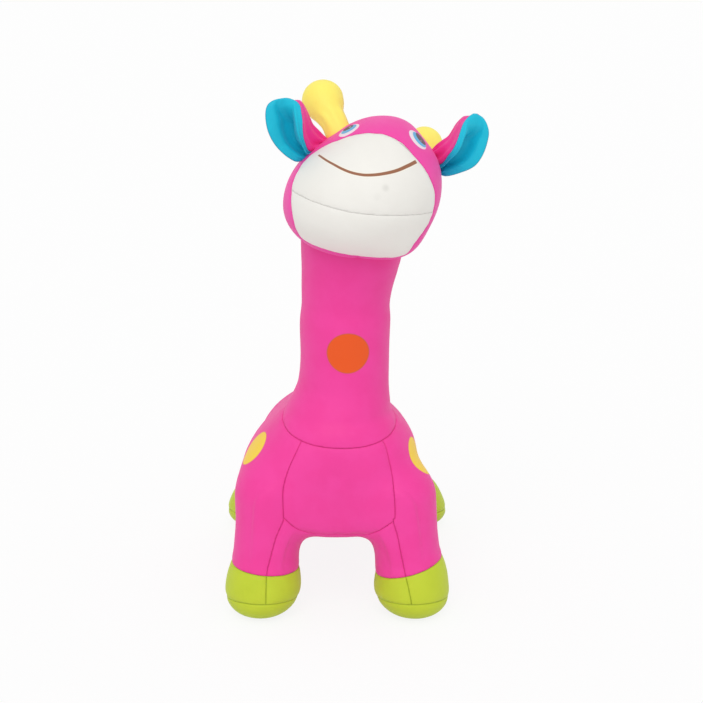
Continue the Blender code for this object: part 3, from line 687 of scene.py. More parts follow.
def makePiece(name, cloth, material, grain):
    mesh = bpy.data.meshes.new(name)
    kept = [[c for i, c in enumerate(f) if c != f[i - 1]] for f in cloth["faces"].tolist()]
    mesh.from_pydata((cloth["points"] + standShift).tolist(), [], kept)
    u, v = grain(cloth["rest"])
    values = {"fabricPlace": cloth["rest"], "grain": beside(u, v, 0 * u), "seamNear": cloth["near"]}
    values.update(cloth.get("marks", {}))
    for key, value in values.items():
        flat = value.ndim == 1
        layer = mesh.attributes.new(key, "FLOAT" if flat else "FLOAT_VECTOR", "POINT")
        layer.data.foreach_set("value" if flat else "vector", value.astype(np.float32).ravel())
    mesh.shade_smooth()
    sharp = {tuple(sorted(pair)) for pair in cloth["rim"].tolist()}
    ends = np.zeros(len(mesh.edges) * 2, np.int32)
    mesh.edges.foreach_get("vertices", ends)
    flags = [tuple(sorted(pair)) in sharp for pair in ends.reshape(-1, 2).tolist()]
    mesh.attributes.new("sharp_edge", "BOOLEAN", "EDGE").data.foreach_set("value", flags)
    corners = np.zeros(len(mesh.loops), np.int32)
    mesh.loops.foreach_get("vertex_index", corners)
    shown = np.repeat(np.arange(len(kept)) < cloth["shown"], [len(f) for f in kept])
    size = len(cloth["normals"])
    normals = np.where(shown[:, None], cloth["normals"][np.minimum(corners, size - 1)], 0)
    mesh.normals_split_custom_set(normals.tolist())
    mesh.materials.append(material)
    return addObject(name, mesh)


# The stuffed look: cloth puffs up between seams, sinks along them and puckers beside them
# each with its height and its reach or size
stuffing = {
    "puff": (0.0004, 0.008),
    "groove": (0.0004, 0.0022),
    "pucker": (0.0003, 0.0050),
    "puckerReach": 0.0055,
    "lumps": (0.0004, 0.026),
}


def noiseAt(points, size, seed=0.0):
    return np.array([noise.noise(Vector(p / size + seed)) for p in points])


def stuffed(points, near):
    (puff, puffReach), (groove, grooveReach) = stuffing["puff"], stuffing["groove"]
    (pucker, puckerSize), (lumps, lumpSize) = stuffing["pucker"], stuffing["lumps"]
    rise = puff * (1 - np.exp(-near / puffReach)) - groove * np.exp(-(near / grooveReach) ** 2)
    rise = rise + pucker * noiseAt(points, puckerSize, 3.1) * np.exp(-near / stuffing["puckerReach"])
    return rise + lumps * noiseAt(points, lumpSize)


# How the knit runs: metres across its wales and along them. The radii stand for the curves it wraps.
grainRadii = {"neck": 0.034, "torso": 0.055, "leg": 0.027, "skull": 0.055}


def neckGrain(p):
    return grainRadii["neck"] * np.arctan2(p[:, 0] - 0.004, neckShape["y"] - p[:, 1]), p[:, 2]


def torsoGrain(p):
    return p[:, 1], grainRadii["torso"] * np.arctan2(p[:, 0], p[:, 2] - torsoShape["height"])


def legGrain(leg, side):
    def grain(p):
        x, y = legAxis(leg, side, p[:, 2])
        return grainRadii["leg"] * np.arctan2(p[:, 0] - x, y - p[:, 1]), p[:, 2]
    return grain


def skullGrain(p):
    q = toHead(p)
    return grainRadii["skull"] * np.arctan2(q[:, 0], q[:, 2]), -p[:, 1]


# runs straight up, from a place of its own
def plainGrain(centre):
    return lambda p: (p[:, 0] - centre[0], p[:, 2] - centre[2])


# Wraps a socket, so that sums and products on it add their Math nodes
class Wire:
    def __init__(self, tree, socket=None):
        self.tree, self.socket = tree, socket

    def node(self, kind, settings, inputs, output=0):
        made = self.tree.nodes.new(kind)
        for key, value in settings.items():
            setattr(made, key, value)
        for key, value in inputs.items():
            if isinstance(value, Wire):
                self.tree.links.new(value.socket, made.inputs[key])
            else:
                made.inputs[key].default_value = value
        return Wire(self.tree, made.outputs[output])

    def maths(self, operation, first, second=0.0):
        return self.node("ShaderNodeMath", {"operation": operation}, {0: first, 1: second})

    def __add__(self, other):
        return self.maths("ADD", self, other)

    def __radd__(self, other):
        return self.maths("ADD", other, self)

    def __sub__(self, other):
        return self.maths("SUBTRACT", self, other)

    def __rsub__(self, other):
        return self.maths("SUBTRACT", other, self)

    def __mul__(self, other):
        return self.maths("MULTIPLY", self, other)

    def __rmul__(self, other):
        return self.maths("MULTIPLY", other, self)

    def __neg__(self):
        return self.maths("MULTIPLY", self, -1.0)

    def __abs__(self):
        return self.maths("ABSOLUTE", self)

    def sine(self):
        return self.maths("SINE", self)

    def most(self, other):
        return self.maths("MAXIMUM", self, other)

    # 1 below low, 0 above high
    def under(self, low, high):
        ends = {"Value": self, "From Min": low, "From Max": high, "To Min": 1.0, "To Max": 0.0}
        return self.node("ShaderNodeMapRange", {"interpolation_type": "SMOOTHSTEP"}, ends)

    def attribute(self, name, output="Vector"):
        return self.node("ShaderNodeAttribute", {"attribute_name": name}, {}, output)

    def parts(self):
        return [self.node("ShaderNodeSeparateXYZ", {}, {"Vector": self}, i) for i in range(3)]

    def vector(self, operation, second, output="Value"):
        return self.node("ShaderNodeVectorMath", {"operation": operation}, {0: self, 1: second}, output)

    def distance(self, point):
        return self.vector("DISTANCE", point)

    def noise(self, scale, detail=3.0):
        return self.node("ShaderNodeTexNoise", {}, {"Vector": self, "Scale": scale, "Detail": detail}, "Fac")

    def painted(self, colour, mask):
        inputs = {"Factor": mask, 6: self, 7: (*linear(colour), 1.0)}
        return self.node("ShaderNodeMix", {"data_type": "RGBA"}, inputs, 2)

    # 1 for the camera, and for what glossy and clear surfaces show of it
    def seen(self):
        kinds = ("Camera", "Glossy", "Transmission")
        rays = [self.node("ShaderNodeLightPath", {}, {}, f"Is {kind} Ray") for kind in kinds]
        return rays[0].most(rays[1]).most(rays[2])


def linear(colour):
    return [c / 12.92 / 255 if c < 10.3 else ((c / 255 + 0.055) / 1.055) ** 2.4 for c in colour]


# Stretch knit: satin, softly mottled, with painted shade where it dips into a seam
knitShape = {
    "wale": 0.00095,
    "course": 0.00075,
    "depth": 0.00007,
    "bump": 0.55,
    "mottle": 0.14,
    "roughness": 0.56,
    "sheen": 0.24,
    "sheenRoughness": 0.45,
    "specular": 0.32,
    "seamShade": 0.35,
    "whiteSeamShade": 0.06,
}


def knit(name, colour, deep, prints=None, seamShade=knitShape["seamShade"]):
    material = bpy.data.materials.new(name)
    material.use_nodes = True
    tree = material.node_tree
    shader = tree.nodes["Principled BSDF"]
    start = Wire(tree)
    place = start.attribute("fabricPlace")
    u, v, _ = start.attribute("grain").parts()
    near = start.attribute("seamNear", "Fac")
    base = start.node("ShaderNodeRGB", {}, {})
    base.socket.default_value = (*linear(colour), 1.0)
    cloth = base.painted(deep, place.noise(55.0, 4.0).under(0.62, 0.38) * knitShape["mottle"])
    # painted shade: the deeper colour along each seam
    cloth = cloth.painted(deep, near.under(0.0001, 0.0010) * seamShade)
    if prints is not None:
        cloth = prints(cloth, place, start)
    wale = (u * (2 * math.pi / knitShape["wale"])).sine()
    course = (v * (2 * math.pi / knitShape["course"]) + abs(wale) * 1.6).sine()
    height = (1 - abs(wale)) * 0.6 + course * 0.3 + place.noise(900.0, 2.0) * 0.35
    relief = {"Strength": knitShape["bump"], "Distance": knitShape["depth"], "Height": height}
    bump = start.node("ShaderNodeBump", {}, relief, "Normal")
    rough = place.noise(140.0, 2.0) * 0.10 + (knitShape["roughness"] - 0.05)
    tree.links.new(cloth.socket, shader.inputs["Base Color"])
    tree.links.new(rough.socket, shader.inputs["Roughness"])
    tree.links.new(bump.socket, shader.inputs["Normal"])
    shader.inputs["Sheen Weight"].default_value = knitShape["sheen"]
    shader.inputs["Sheen Roughness"].default_value = knitShape["sheenRoughness"]
    shader.inputs["Sheen Tint"].default_value = (*[1 - (1 - c) * 0.7 for c in linear(colour)], 1.0)
    shader.inputs["Specular IOR Level"].default_value = knitShape["specular"]
    return material


# Prints on the cloth, with a painted shade line by the muzzle's edge: places in the toy's own metres
printShape = {
    "dot": {"centre": (0.0081, 0.2103), "radius": 0.0153, "colour": (231, 86, 18), "rim": (190, 90, 40)},
    # the dot is only on the front of the neck, up to between these places
    "dotBack": (-0.052, -0.048),
    "spots": [(-0.0675, -0.0605, 0.1318), (0.0620, -0.0600, 0.1222)],
    "spot": {"radius": 0.0157, "colour": (245, 212, 60), "rim": (214, 160, 60)},
    "blur": 0.0002,
    # for the white, the iris, the pupil and the shine: places in each eye, radii, blurs, colours
    "eyes": [
        [(0.0088, -0.0722, 0.3752), (0.0087, -0.07, 0.3755), (0.0083, -0.0665, 0.3757), (0.0098, -0.067, 0.3762)],
        [(0.0579, -0.0786, 0.3692), (0.0594, -0.0762, 0.369), (0.0606, -0.0728, 0.369), (0.0607, -0.076, 0.3683)],
    ],
    "eyeRadii": ((0.0083, 0.0062, 0.0042, 0.0008), (0.0086, 0.0069, 0.0055, 0.0009)),
    "eyeBlurs": (0.0002, 0.0002, 0.0002, 0.0005),
    "eyeColours": ((236, 228, 234), (80, 180, 225), (78, 72, 74), (205, 205, 208)),
    "smile": [
        (-0.0127, -0.0846, 0.3594), (-0.0073, -0.0973, 0.3583), (-0.0011, -0.1065, 0.3567),
        (0.0047, -0.1126, 0.3549), (0.011, -0.1167, 0.3533), (0.018, -0.119, 0.3523), (0.0243, -0.1195, 0.3522),
        (0.0313, -0.1186, 0.3527), (0.0385, -0.1161, 0.3536), (0.044, -0.1131, 0.3547), (0.049, -0.1091, 0.3561),
        (0.0529, -0.105, 0.3571), (0.0564, -0.1006, 0.3581),
    ],
    "smileWidths": (0.0013, 0.0026),
    # the stroke and the pale edge round it
    "smileColours": ((150, 98, 70), (247, 240, 222)),
    # the two ends of a painted shade line along a crease by the muzzle's edge
    "crease": ((0.0457, -0.0963, 0.3704), (0.0527, -0.0974, 0.3646)),
    "creaseShadeColour": (176, 160, 152),
    # place, radius, strength
    "smudges": [((0.0344, -0.1218, 0.3435), 0.0038, 0.20), ((0.0285, -0.1244, 0.3377), 0.0042, 0.06)],
    "smudgeColour": (150, 150, 140),
}


def neckPrint(cloth, place, start):
    x, y, z = place.parts()
    dot, blur = printShape["dot"], printShape["blur"]
    flat = start.node("ShaderNodeCombineXYZ", {}, {"X": x, "Y": 0.0, "Z": z})
    away = flat.distance((dot["centre"][0], 0.0, dot["centre"][1]))
    front = y.under(*printShape["dotBack"])
    rim = abs(away - dot["radius"]).under(0.0002, 0.0007)
    cloth = cloth.painted(dot["colour"], away.under(dot["radius"] - blur, dot["radius"] + blur) * front)
    return cloth.painted(dot["rim"], rim * front * 0.55)


def spotPrint(cloth, place, start):
    spot, blur = printShape["spot"], printShape["blur"]
    for centre in printShape["spots"]:
        away = place.distance(centre)
        cloth = cloth.painted(spot["colour"], away.under(spot["radius"] - blur, spot["radius"] + blur))
        cloth = cloth.painted(spot["rim"], abs(away - spot["radius"]).under(0.0001, 0.0006) * 0.5)
    return cloth


def eyePrint(cloth, place, start):
    for places, radii in zip(printShape["eyes"], printShape["eyeRadii"]):
        for centre, radius, blur, colour in zip(places, radii, printShape["eyeBlurs"], printShape["eyeColours"]):
            cloth = cloth.painted(colour, place.distance(centre).under(radius - blur, radius + blur))
    return cloth


def smilePrint(cloth, place, start):
    across, along, _ = start.attribute("smile").parts()
    thin, thick = printShape["smileWidths"]
    half = (along * (thick - thin) + thin) * 0.5
    ends = along.under(1.0, 1.012) * (-along).under(0.0, 0.012)
    stroke = (abs(across) - half).under(-0.00015, 0.00025) * ends
    halo = (abs(across) - half).under(0.0002, 0.0014) * ends
    ink, pale = printShape["smileColours"]
    cloth = cloth.painted(pale, halo * 0.5).painted(ink, stroke)
    # a painted shade line in the crease by the muzzle's edge
    low, high = (np.array(p) for p in printShape["crease"])
    span = float(np.linalg.norm(high - low))
    way = tuple((high - low) / span)
    shift = place.vector("SUBTRACT", tuple(low), "Vector")
    reach = shift.vector("DOT_PRODUCT", way)
    size = shift.vector("CROSS_PRODUCT", way, "Vector").distance((0.0, 0.0, 0.0))
    line = size.under(0.0004, 0.0010) * reach.under(span, span + 0.002) * (-reach).under(0.0, 0.002)
    cloth = cloth.painted(printShape["creaseShadeColour"], line * 0.6)
    for centre, radius, strength in printShape["smudges"]:
        fade = place.distance(centre).under(0.0004, radius)
        cloth = cloth.painted(printShape["smudgeColour"], fade * strength)
    return cloth


print("scene: materials")
clothColours = {
    "pink": ((238, 62, 156), (228, 26, 126)),
    # painted light: the skull's pink is the body's knit painted lighter and bluer, standing in for the strong light
    # from above
    "skull": ((240, 75, 169), (228, 40, 140)),
    "white": ((236, 234, 228), (228, 225, 218)),
    "cyan": ((8, 188, 215), (0, 138, 178)),
    "yellow": ((252, 240, 112), (248, 220, 80)),
    "green": ((190, 206, 48), (160, 180, 28)),
}
# each knit with its slot
plainPink = knit("pinkKnit", *clothColours["pink"]), "pink_knit"
neckPink = knit("pinkKnitWithDot", *clothColours["pink"], neckPrint), "pink_knit"
sidePink = knit("pinkKnitWithSpots", *clothColours["pink"], spotPrint), "pink_knit"
# the skull's knit carries painted light: its pink is lighter and bluer than the body's
skullPinkPaintedLight = knit("pinkKnitWithEyesPaintedLight", *clothColours["skull"], eyePrint), "pink_knit"
whiteShade = knitShape["whiteSeamShade"]
muzzleWhite = knit("whiteKnitWithSmile", *clothColours["white"], smilePrint, whiteShade), "white_knit"
plainWhite = knit("whiteKnit", *clothColours["white"], None, whiteShade), "white_knit"
cyanKnit = knit("cyanKnit", *clothColours["cyan"]), "cyan_knit"
yellowKnit = knit("yellowKnit", *clothColours["yellow"]), "yellow_knit"
greenKnit = knit("greenKnit", *clothColours["green"]), "green_knit"


def inWorld(point):
    return tuple(float(c) for c in np.array(point) + standShift)


def addPiece(name, cloths, knitted, grain, nodes, body, blend=None, fill=0.85):
    material, slot = knitted
    piece = makePiece(name + "_knit", cloths[name], material, grain)
    if blend is None:
        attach(piece, body)
    else:
        other, start, end = blend
        inWorld(start)
        inWorld(end)
        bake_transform(piece)
    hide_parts(*nodes)


print("scene: body pieces")
backSeam = np.array([[0.004, neckShape["y"] + 0.034, z] for z in np.arange(0.165, 0.30, 0.001)])
bodyCloths = sew(body, bodyLabels, bodyPieces, stuffed, backSeam)
neckBlend = ("torso", (0.0, -0.048, 0.155), (0.0, -0.059, 0.204))
upperBlend = ("neck", (0.008, -0.048, 0.245), (0.010, -0.048, 0.276))
addPiece("neck_lower", bodyCloths, neckPink, neckGrain, ["neck_skin", "neck_filling"], "neck", neckBlend)
addPiece("neck_upper", bodyCloths, neckPink, neckGrain, [], "head", upperBlend)
addPiece("chest_panel", bodyCloths, plainPink, torsoGrain, ["chest_panel", "torso_filling"], "torso")
addPiece("belly_panel", bodyCloths, plainPink, torsoGrain, ["belly_panel"], "torso")
for panel in ("side_panel_left", "side_panel_right"):
    addPiece(panel, bodyCloths, sidePink, torsoGrain, [panel], "torso")
for name, (leg, side) in legs.items():
    hip = (side * leg["hip"][0], leg["hip"][1])
    legBlend = ("torso", (*hip, legShape["top"]), (*hip, 0.020))
    grain = legGrain(leg, side)
    for half in ("outer", "inner"):
        replaced = [f"{name}_{half}"] + ([name + "_filling"] if half == "outer" else [])
        addPiece(f"{name}_{half}", bodyCloths, plainPink, grain, replaced, name, legBlend)
        part = f"{name}_hoof_{half}"
        addPiece(part, bodyCloths, greenKnit, grain, [part], name, legBlend)
    addPiece(name + "_sole", bodyCloths, greenKnit, grain, [name + "_sole"], name)

# Head: seams as angles round the axis of the face, in degrees
headSeams = {
    # turn from straight up towards the toy's left, angle from the axis of the face
    "muzzle": [
        (-180, 59), (-166.2, 58.2), (-153.2, 59.4), (-140, 65.5), (-131.7, 69.5), (-123.8, 66.4), (-110.4, 62.8),
        (-98.6, 63.4), (-88.2, 66.4), (-79.4, 71.8), (-70.4, 76.4), (-62, 81), (-50.3, 80.5), (-41.8, 76.3),
        (-35.8, 72.6),
        (-21, 66.5), (-9.1, 62.8), (4.9, 60.2), (14.7, 58.3), (24, 57.4), (34.1, 56), (40.2, 55.1), (49.1, 55.3),
        (60.3, 56.4), (69.7, 58), (81.8, 62.2), (91.4, 64.8), (105, 67.4), (116.6, 67.2), (126.2, 64),
        (134.7, 62.6), (142, 65.2), (147, 68), (152, 66.8), (158.3, 64), (166.6, 62.6), (173.7, 60.6), (180, 59),
    ],
    # place across, height
    "chin": [
        (-1.0, 0.118), (-0.915, 0.102), (-0.774, 0.068), (-0.505, 0.008), (-0.245, -0.050), (0.010, -0.092),
        (0.263, -0.121), (0.518, -0.147), (0.781, -0.184), (0.894, -0.210), (1.0, -0.23),
    ],
    "rows": 64,
    # turns between which a seam runs over the crown and down the back, and how strong it is
    "crown": (104, 300),
    "strength": 0.3,
}
muzzleTable = smoothTable(headSeams["muzzle"])
chinTable = smoothTable(headSeams["chin"])


# points spread evenly over a ball of radius 1, as quads
def ballNet(rows):
    ticks = np.tan(np.linspace(-math.pi / 4, math.pi / 4, rows + 1))
    a, b = (grid.ravel() for grid in np.meshgrid(ticks, ticks, indexing="ij"))
    corner = np.arange((rows + 1) ** 2).reshape(rows + 1, rows + 1)
    quads = np.stack([corner[:-1, :-1], corner[1:, :-1], corner[1:, 1:], corner[:-1, 1:]], axis=-1).reshape(-1, 4)
    points, faces = [], []
    for axis in range(3):
        for side in (-1, 1):
            block = np.zeros((a.size, 3))
            block[:, axis], block[:, (axis + 1) % 3], block[:, (axis + 2) % 3] = side, a, b
            faces.append((quads if side > 0 else quads[:, ::-1]) + len(points) * a.size)
            points.append(block)
    points = np.vstack(points)
    _, first, same = np.unique(np.round(points, 6), axis=0, return_index=True, return_inverse=True)
    return unit(points[first]), same.reshape(-1)[np.vstack(faces)]


def muzzleSeam(p):
    q = unit(toHead(p))
    turn = np.degrees(np.arctan2(q[:, 0], q[:, 2]))
    angle = np.arccos(np.clip(q[:, 1], -1, 1)) - np.radians(readTable(muzzleTable, turn))
    return angle * headShape["meanRadius"]


def chinSeam(p):
    q = toHead(p)
    return (q[:, 2] - readTable(chinTable, q[:, 0])) * headShape["meanRadius"]


print("scene: head")
ballPoints, ballFaces = ballNet(headSeams["rows"])
head = Skin(headField, fromHead(ballPoints), ballFaces[:, ::-1])
head.cutAlong(muzzleSeam)
head.cutAlong(chinSeam, lambda p: muzzleSeam(p) < 0.0004)
middle = head.centres()
headLabels = np.where(muzzleSeam(middle) > 0, 0, np.where(chinSeam(middle) > 0, 1, 2))
headPieces = [("skull_skin", "skull"), ("muzzle_panel", "muzzle"), ("chin_panel", "chin")]
turns = np.radians(np.arange(*headSeams["crown"]))
crownSeam = fromHead(beside(0 * turns, np.cos(turns), np.sin(turns)))
headCloths = sew(head, headLabels, headPieces, stuffed, crownSeam, headSeams["strength"])


# where a point lies beside the smile and along it, from 0 at its start to 1 at its end
def smilePlace(points):
    rows = smoothTable(beside(np.arange(len(printShape["smile"])), printShape["smile"]))[:, 1:]
    length = np.concatenate([[0], np.cumsum(np.linalg.norm(np.diff(rows, axis=0), axis=1))])
    ways = unit(np.gradient(rows, axis=0))
    _, out = directions(headField, rows)
    tree = treeOf(rows)
    nearest = np.array([tree.find(p)[1] for p in points])
    shift = points - rows[nearest]
    across = np.sum(shift * np.cross(out[nearest], ways[nearest]), axis=1)
    along = length[nearest] + np.sum(shift * ways[nearest], axis=1)
    return beside(across, along / length[-1], 0 * across)


headCloths["muzzle_panel"]["marks"] = {"smile": smilePlace(headCloths["muzzle_panel"]["rest"])}
frontGrain = plainGrain((0.0, 0.0, 0.0))
addPiece("skull_skin", headCloths, skullPinkPaintedLight, skullGrain, ["skull_skin", "head_filling"], "head")
addPiece("muzzle_panel", headCloths, muzzleWhite, frontGrain, ["muzzle_panel"], "head")
addPiece("chin_panel", headCloths, plainWhite, frontGrain, ["chin_panel"], "head")

# Ears: rows from root to tip, in millimetres, along the outer rim, the inner rim, the pocket and the back
earShape = {
    "right": {
        "outer": [
            (-18, -58, 356.4), (-27.1, -66, 350.7), (-35.1, -71, 354.8), (-43.5, -74, 363.5), (-48.8, -76, 373.6),
            (-50.9, -76, 384.2), (-50.1, -74, 392.5), (-45.7, -71, 396.5), (-38.2, -68, 397.8)],
        "inner": [
            (-12.2, -58, 360.8), (-19.4, -66, 358.4), (-23, -72, 367.7), (-23.9, -75, 375), (-24.1, -76, 382.7),
            (-24.9, -75, 388.6), (-25.8, -73, 392.8), (-28.6, -70.5, 395.9), (-34.1, -68, 397.8)],
        "pocket": [
            (-13.7, -56, 357.5), (-20.9, -61, 356.7), (-27.4, -61, 360.7), (-31.7, -61, 366.2), (-33.4, -61, 372.4),
            (-33.7, -61, 378.3), (-34, -62, 384.6), (-34.6, -64, 389.7), (-35.9, -66.5, 394.5)],
        "spine": [
            (-5, -50, 363), (-10.8, -53, 368.7), (-17.2, -56, 374.8), (-19.7, -58, 380.6), (-21.4, -60, 385.4),
            (-23.2, -61.5, 389.6), (-25.6, -63, 393.5), (-29.1, -65, 396.5), (-34.8, -67, 398.9)],
        "root": (-0.015, -0.055, 0.359),
        "way": (-0.44, -0.26, 0.86),
    },
    "left": {
        "outer": [
            (72.9, -46, 339.1), (79.5, -52, 337), (90.7, -58, 341), (99.9, -60, 345.8), (105.7, -60, 353.2),
            (109.4, -59, 363.2), (110.4, -58, 372.2), (107, -57.5, 380.6), (101.1, -57, 384.9)],
        "inner": [
            (71.2, -48, 344), (76.6, -56, 347.5), (80.2, -64, 354.7), (83.7, -68, 360.6), (86.4, -69, 366.6),
            (88.5, -68, 372.8), (90.8, -66, 378.7), (94.4, -62.5, 382.7), (98.9, -58.5, 385.1)],
        "pocket": [
            (72.8, -46, 342.1), (78.4, -51, 344.7), (83.4, -53, 349.4), (88.4, -54, 354.2), (92.3, -54, 359.7),
            (95.5, -54, 366), (98.1, -54.5, 372.7), (99.7, -55.5, 378.7), (100.1, -56.7, 383)],
        "spine": [
            (68.4, -42, 353.3), (72.3, -45, 358.3), (77.6, -47, 362.4), (81.6, -48, 365.6), (84.4, -49, 370.2),
            (87.1, -50.5, 375.2), (90.6, -52, 379.4), (94.5, -54, 383), (98.6, -56, 385.4)],
        "root": (0.0729, -0.046, 0.342),
        "way": (0.50, -0.21, 0.84),
    },
    # numbers of points along it, and round it over the outer wall, the inner wall and the back
    "rows": 50,
    "steps": (20, 16, 48),
    # where along its nine rows it ends, where its pocket opens and closes, and where its tip flattens
    "last": 7.85,
    "opens": (0.2, 1.2),
    "closes": (4.9, 6.6),
    "flattens": (6.4, 7.8),
    # the tip's half thickness at the front and the back, as shares of its width
    "lens": (0.12, -0.20),
    "puff": 0.12,
    "roll": 0.20,
    "deepen": 0.0045,
    "padding": 0.0042,
    # heights of the gathers behind it and the folds in front
    "gather": 0.0014,
    "fold": 0.0009,
    "seamSize": 0.7,
    "thickness": 0.0004,
    "fill": 0.6,
    "blendLength": 0.014,
}


# a closed skin lofted through rings of points, with a pole at each end
def loftSkin(rings, start, end):
    count, size = len(rings), len(rings[0])
    points = np.vstack([np.vstack(rings), [start], [end]])
    faces = []
    for i in range(count - 1):
        a = i * size + np.arange(size)
        b = i * size + (np.arange(size) + 1) % size
        faces.append(beside(a, b, b + size, a + size))
    a, b = np.arange(size), (np.arange(size) + 1) % size
    last = (count - 1) * size
    first = 0 * a + count * size
    faces.append(beside(b, a, first, first))
    faces.append(beside(last + a, last + b, first + 1, first + 1))
    faces = np.vstack(faces)
    corner = points[faces] - points.mean(axis=0)
    volume = np.einsum("ij,ij->i", corner[:, 0], np.cross(corner[:, 1], corner[:, 2])).sum()
    if volume < 0:
        faces = np.where((faces[:, 2] == faces[:, 3])[:, None], faces[:, [1, 0, 2, 3]], faces[:, ::-1])
    return Skin(None, points, faces)


def capRings(ring, pole, degrees=(30, 60)):
    centre = ring.mean(axis=0)
    turns = [math.radians(a) for a in degrees]
    return [centre + (ring - centre) * math.cos(a) + (pole - centre) * math.sin(a) for a in turns]


def buildEar(hand):
    shape = earShape[hand]
    places = np.linspace(0, earShape["last"], earShape["rows"])
    lines = [
        readLine(beside(np.arange(9), np.array(shape[key]) / 1000), places)
        for key in ("outer", "inner", "pocket", "spine")]
    outer, inner, pocket, spine = lines
    tangent = unit(np.gradient((outer + inner) / 2, axis=0))
    opening = (outer + inner) / 2 - pocket
    ahead = unit(opening)

    # the way that a wall of the pocket faces
    def facing(a, b):
        side = unit(np.cross(b - a, tangent))
        return side * np.sign(np.sum(side * opening, axis=1, keepdims=True))

    # smooth curves through lines of the ear, one for each row
    def drawn(lines, steps):
        stations = np.stack(lines)
        shares = np.linspace(0, len(lines) - 1, steps, endpoint=False)
        curves = [readLine(beside(np.arange(len(lines)), stations[:, i]), shares) for i in range(len(outer))]
        return list(np.stack(curves, axis=1))

    wallSteps, ledgeSteps, backSteps = earShape["steps"]
    lining = wallSteps + ledgeSteps
    width = lengths(outer - inner)
    across = (outer - inner) / np.maximum(width, 1e-9)
    deep = (smoothStep(places, *earShape["opens"]) * (1 - smoothStep(places, *earShape["closes"])))[:, None]
    # the inner rim rolls over the pocket as far as this edge
    fold = inner + across * width * earShape["roll"] + ahead * width * 0.03
    floor = pocket + (inner - pocket) * 0.22 * deep - ahead * earShape["deepen"] * deep
    floor = floor + ((outer + fold) / 2 - floor) * (1 - deep) * 0.70
    faced = facing(outer, floor)
    wall = outer * 0.70 + floor * 0.30 + faced * lengths(floor - outer) * earShape["puff"]
    ledge = outer * 0.34 + floor * 0.66 - ahead * earShape["deepen"] * 0.5 * deep
    crest = (fold + inner) / 2 + ahead * width * 0.035
    columns = drawn([outer, wall, ledge, floor], wallSteps) + drawn([floor, fold, crest, inner], ledgeSteps)
    # the back goes from the inner rim over the spine and round behind the pocket
    padding = np.minimum(earShape["padding"], width * 0.3)
    heel = floor - ahead * padding
    cheek = ledge * 0.5 + outer * 0.5 - faced * padding
    columns += drawn([inner, spine, heel, cheek, outer], backSteps)
    # near its tip, the ear flattens to a lens between its rims
    shares = np.concatenate([np.arange(lining) / lining, 1 - np.arange(backSteps) / backSteps])
    sides = np.where(np.arange(len(shares)) < lining, *earShape["lens"]) * np.sin(math.pi * shares)
    front = ahead[int(earShape["rows"] * 0.8)]
    flat = outer[:, None] + (inner - outer)[:, None] * shares[:, None]
    flat = flat + (width * front)[:, None] * sides[:, None]
    near = smoothStep(places, *earShape["flattens"])[:, None, None]
    rings = list(np.stack(columns, axis=1) * (1 - near) + flat * near)
    tip = rings[-1].mean(axis=0) + tangent[-1] * 0.0003
    root = rings[0].mean(axis=0) + unit(headShape["centre"][None] - rings[0].mean(axis=0))[0] * 0.008
    rings = capRings(rings[0], root)[::-1] + rings + capRings(rings[-1], tip)
    skin = loftSkin(rings, root, tip)
    size = len(columns)
    rows = np.concatenate([np.repeat([-0.6, -0.3] + list(places) + [8.2, 8.4], size), [-1, 8.5]])
    spots = np.concatenate([np.tile(np.arange(size), len(rings)), [0, 0]])
    spacing = [np.linalg.norm(np.roll(ring, -1, axis=0) - ring, axis=1) for ring in rings]
    spacing = np.concatenate(spacing + [[0, 0]])
    column = skin.faces[:, :2].copy()
    column[column >= len(rings) * size] = 0
    low = np.where(np.abs(column[:, 0] % size - column[:, 1] % size) > 1, size - 1, (column % size).min(axis=1))
    labels = np.where(low < lining, 0, 1)

    def relief(points, near):
        bumps = stuffed(points, near) * np.clip(near / 0.004, 0.2, 1)
        back = spots > lining
        gather = earShape["gather"] * np.sin(spots * 2 * math.pi / 5.2 + 0.2 * rows)
        gather = gather * np.exp(-np.maximum(rows - 1, 0) / 2.4) * smoothStep(spacing, 0.0002, 0.0009)
        gather = gather * (1 - 0.8 * smoothStep(spots, lining + 20, lining + 28))
        fan = earShape["fold"] * np.sin(spots * 2 * math.pi / 6.5) * np.exp(-np.maximum(rows, 0) / 2.2)
        folds = np.where(back, gather, fan) * smoothStep(near, 0.0004, 0.0020)
        return bumps + folds * (rows > -0.5)

    pieces = [(f"ear_{hand}_lining", "lining"), (f"ear_{hand}_back", "back")]
    return sew(skin, labels, pieces, relief, None, earShape["seamSize"], earShape["thickness"])


print("scene: ears")
for hand in ("right", "left"):
    cloths = buildEar(hand)
    root, way = (np.array(earShape[hand][key]) for key in ("root", "way"))
    earBlend = ("head", root, root + way * earShape["blendLength"])
    for part, knitted in (("lining", cyanKnit), ("back", plainPink)):
        name = f"ear_{hand}_{part}"
        addPiece(name, cloths, knitted, plainGrain(root), [name], "ear_" + hand, earBlend, earShape["fill"])

# Horns: a bulb on a neck; the line of its middle, then the radius at each distance along it
hornShape = {
    "right": {
        "line": [
            (0.003, -0.05, 0.364), (-0.0018, -0.042, 0.3745), (-0.0055, -0.036, 0.3795),
            (-0.0082, -0.0295, 0.3844), (-0.0104, -0.024, 0.3884)],
        "size": 1.0,
    },
    "left": {
        "line": [
            (0.0535, -0.0145, 0.35), (0.057, -0.005, 0.3495), (0.0608, 0.003, 0.349), (0.064, 0.009, 0.3485),
            (0.066, 0.013, 0.348)],
        "size": 0.9,
    },
    "radii": [(0.0, 0.0096), (0.25, 0.0092), (0.50, 0.0104), (0.75, 0.0137), (1.0, 0.0152)],
    "cap": 0.0150,
    "spokes": 44,
    "rows": 22,
    # height of the folds at its neck
    "fold": 0.0005,
    "fill": 0.9,
}


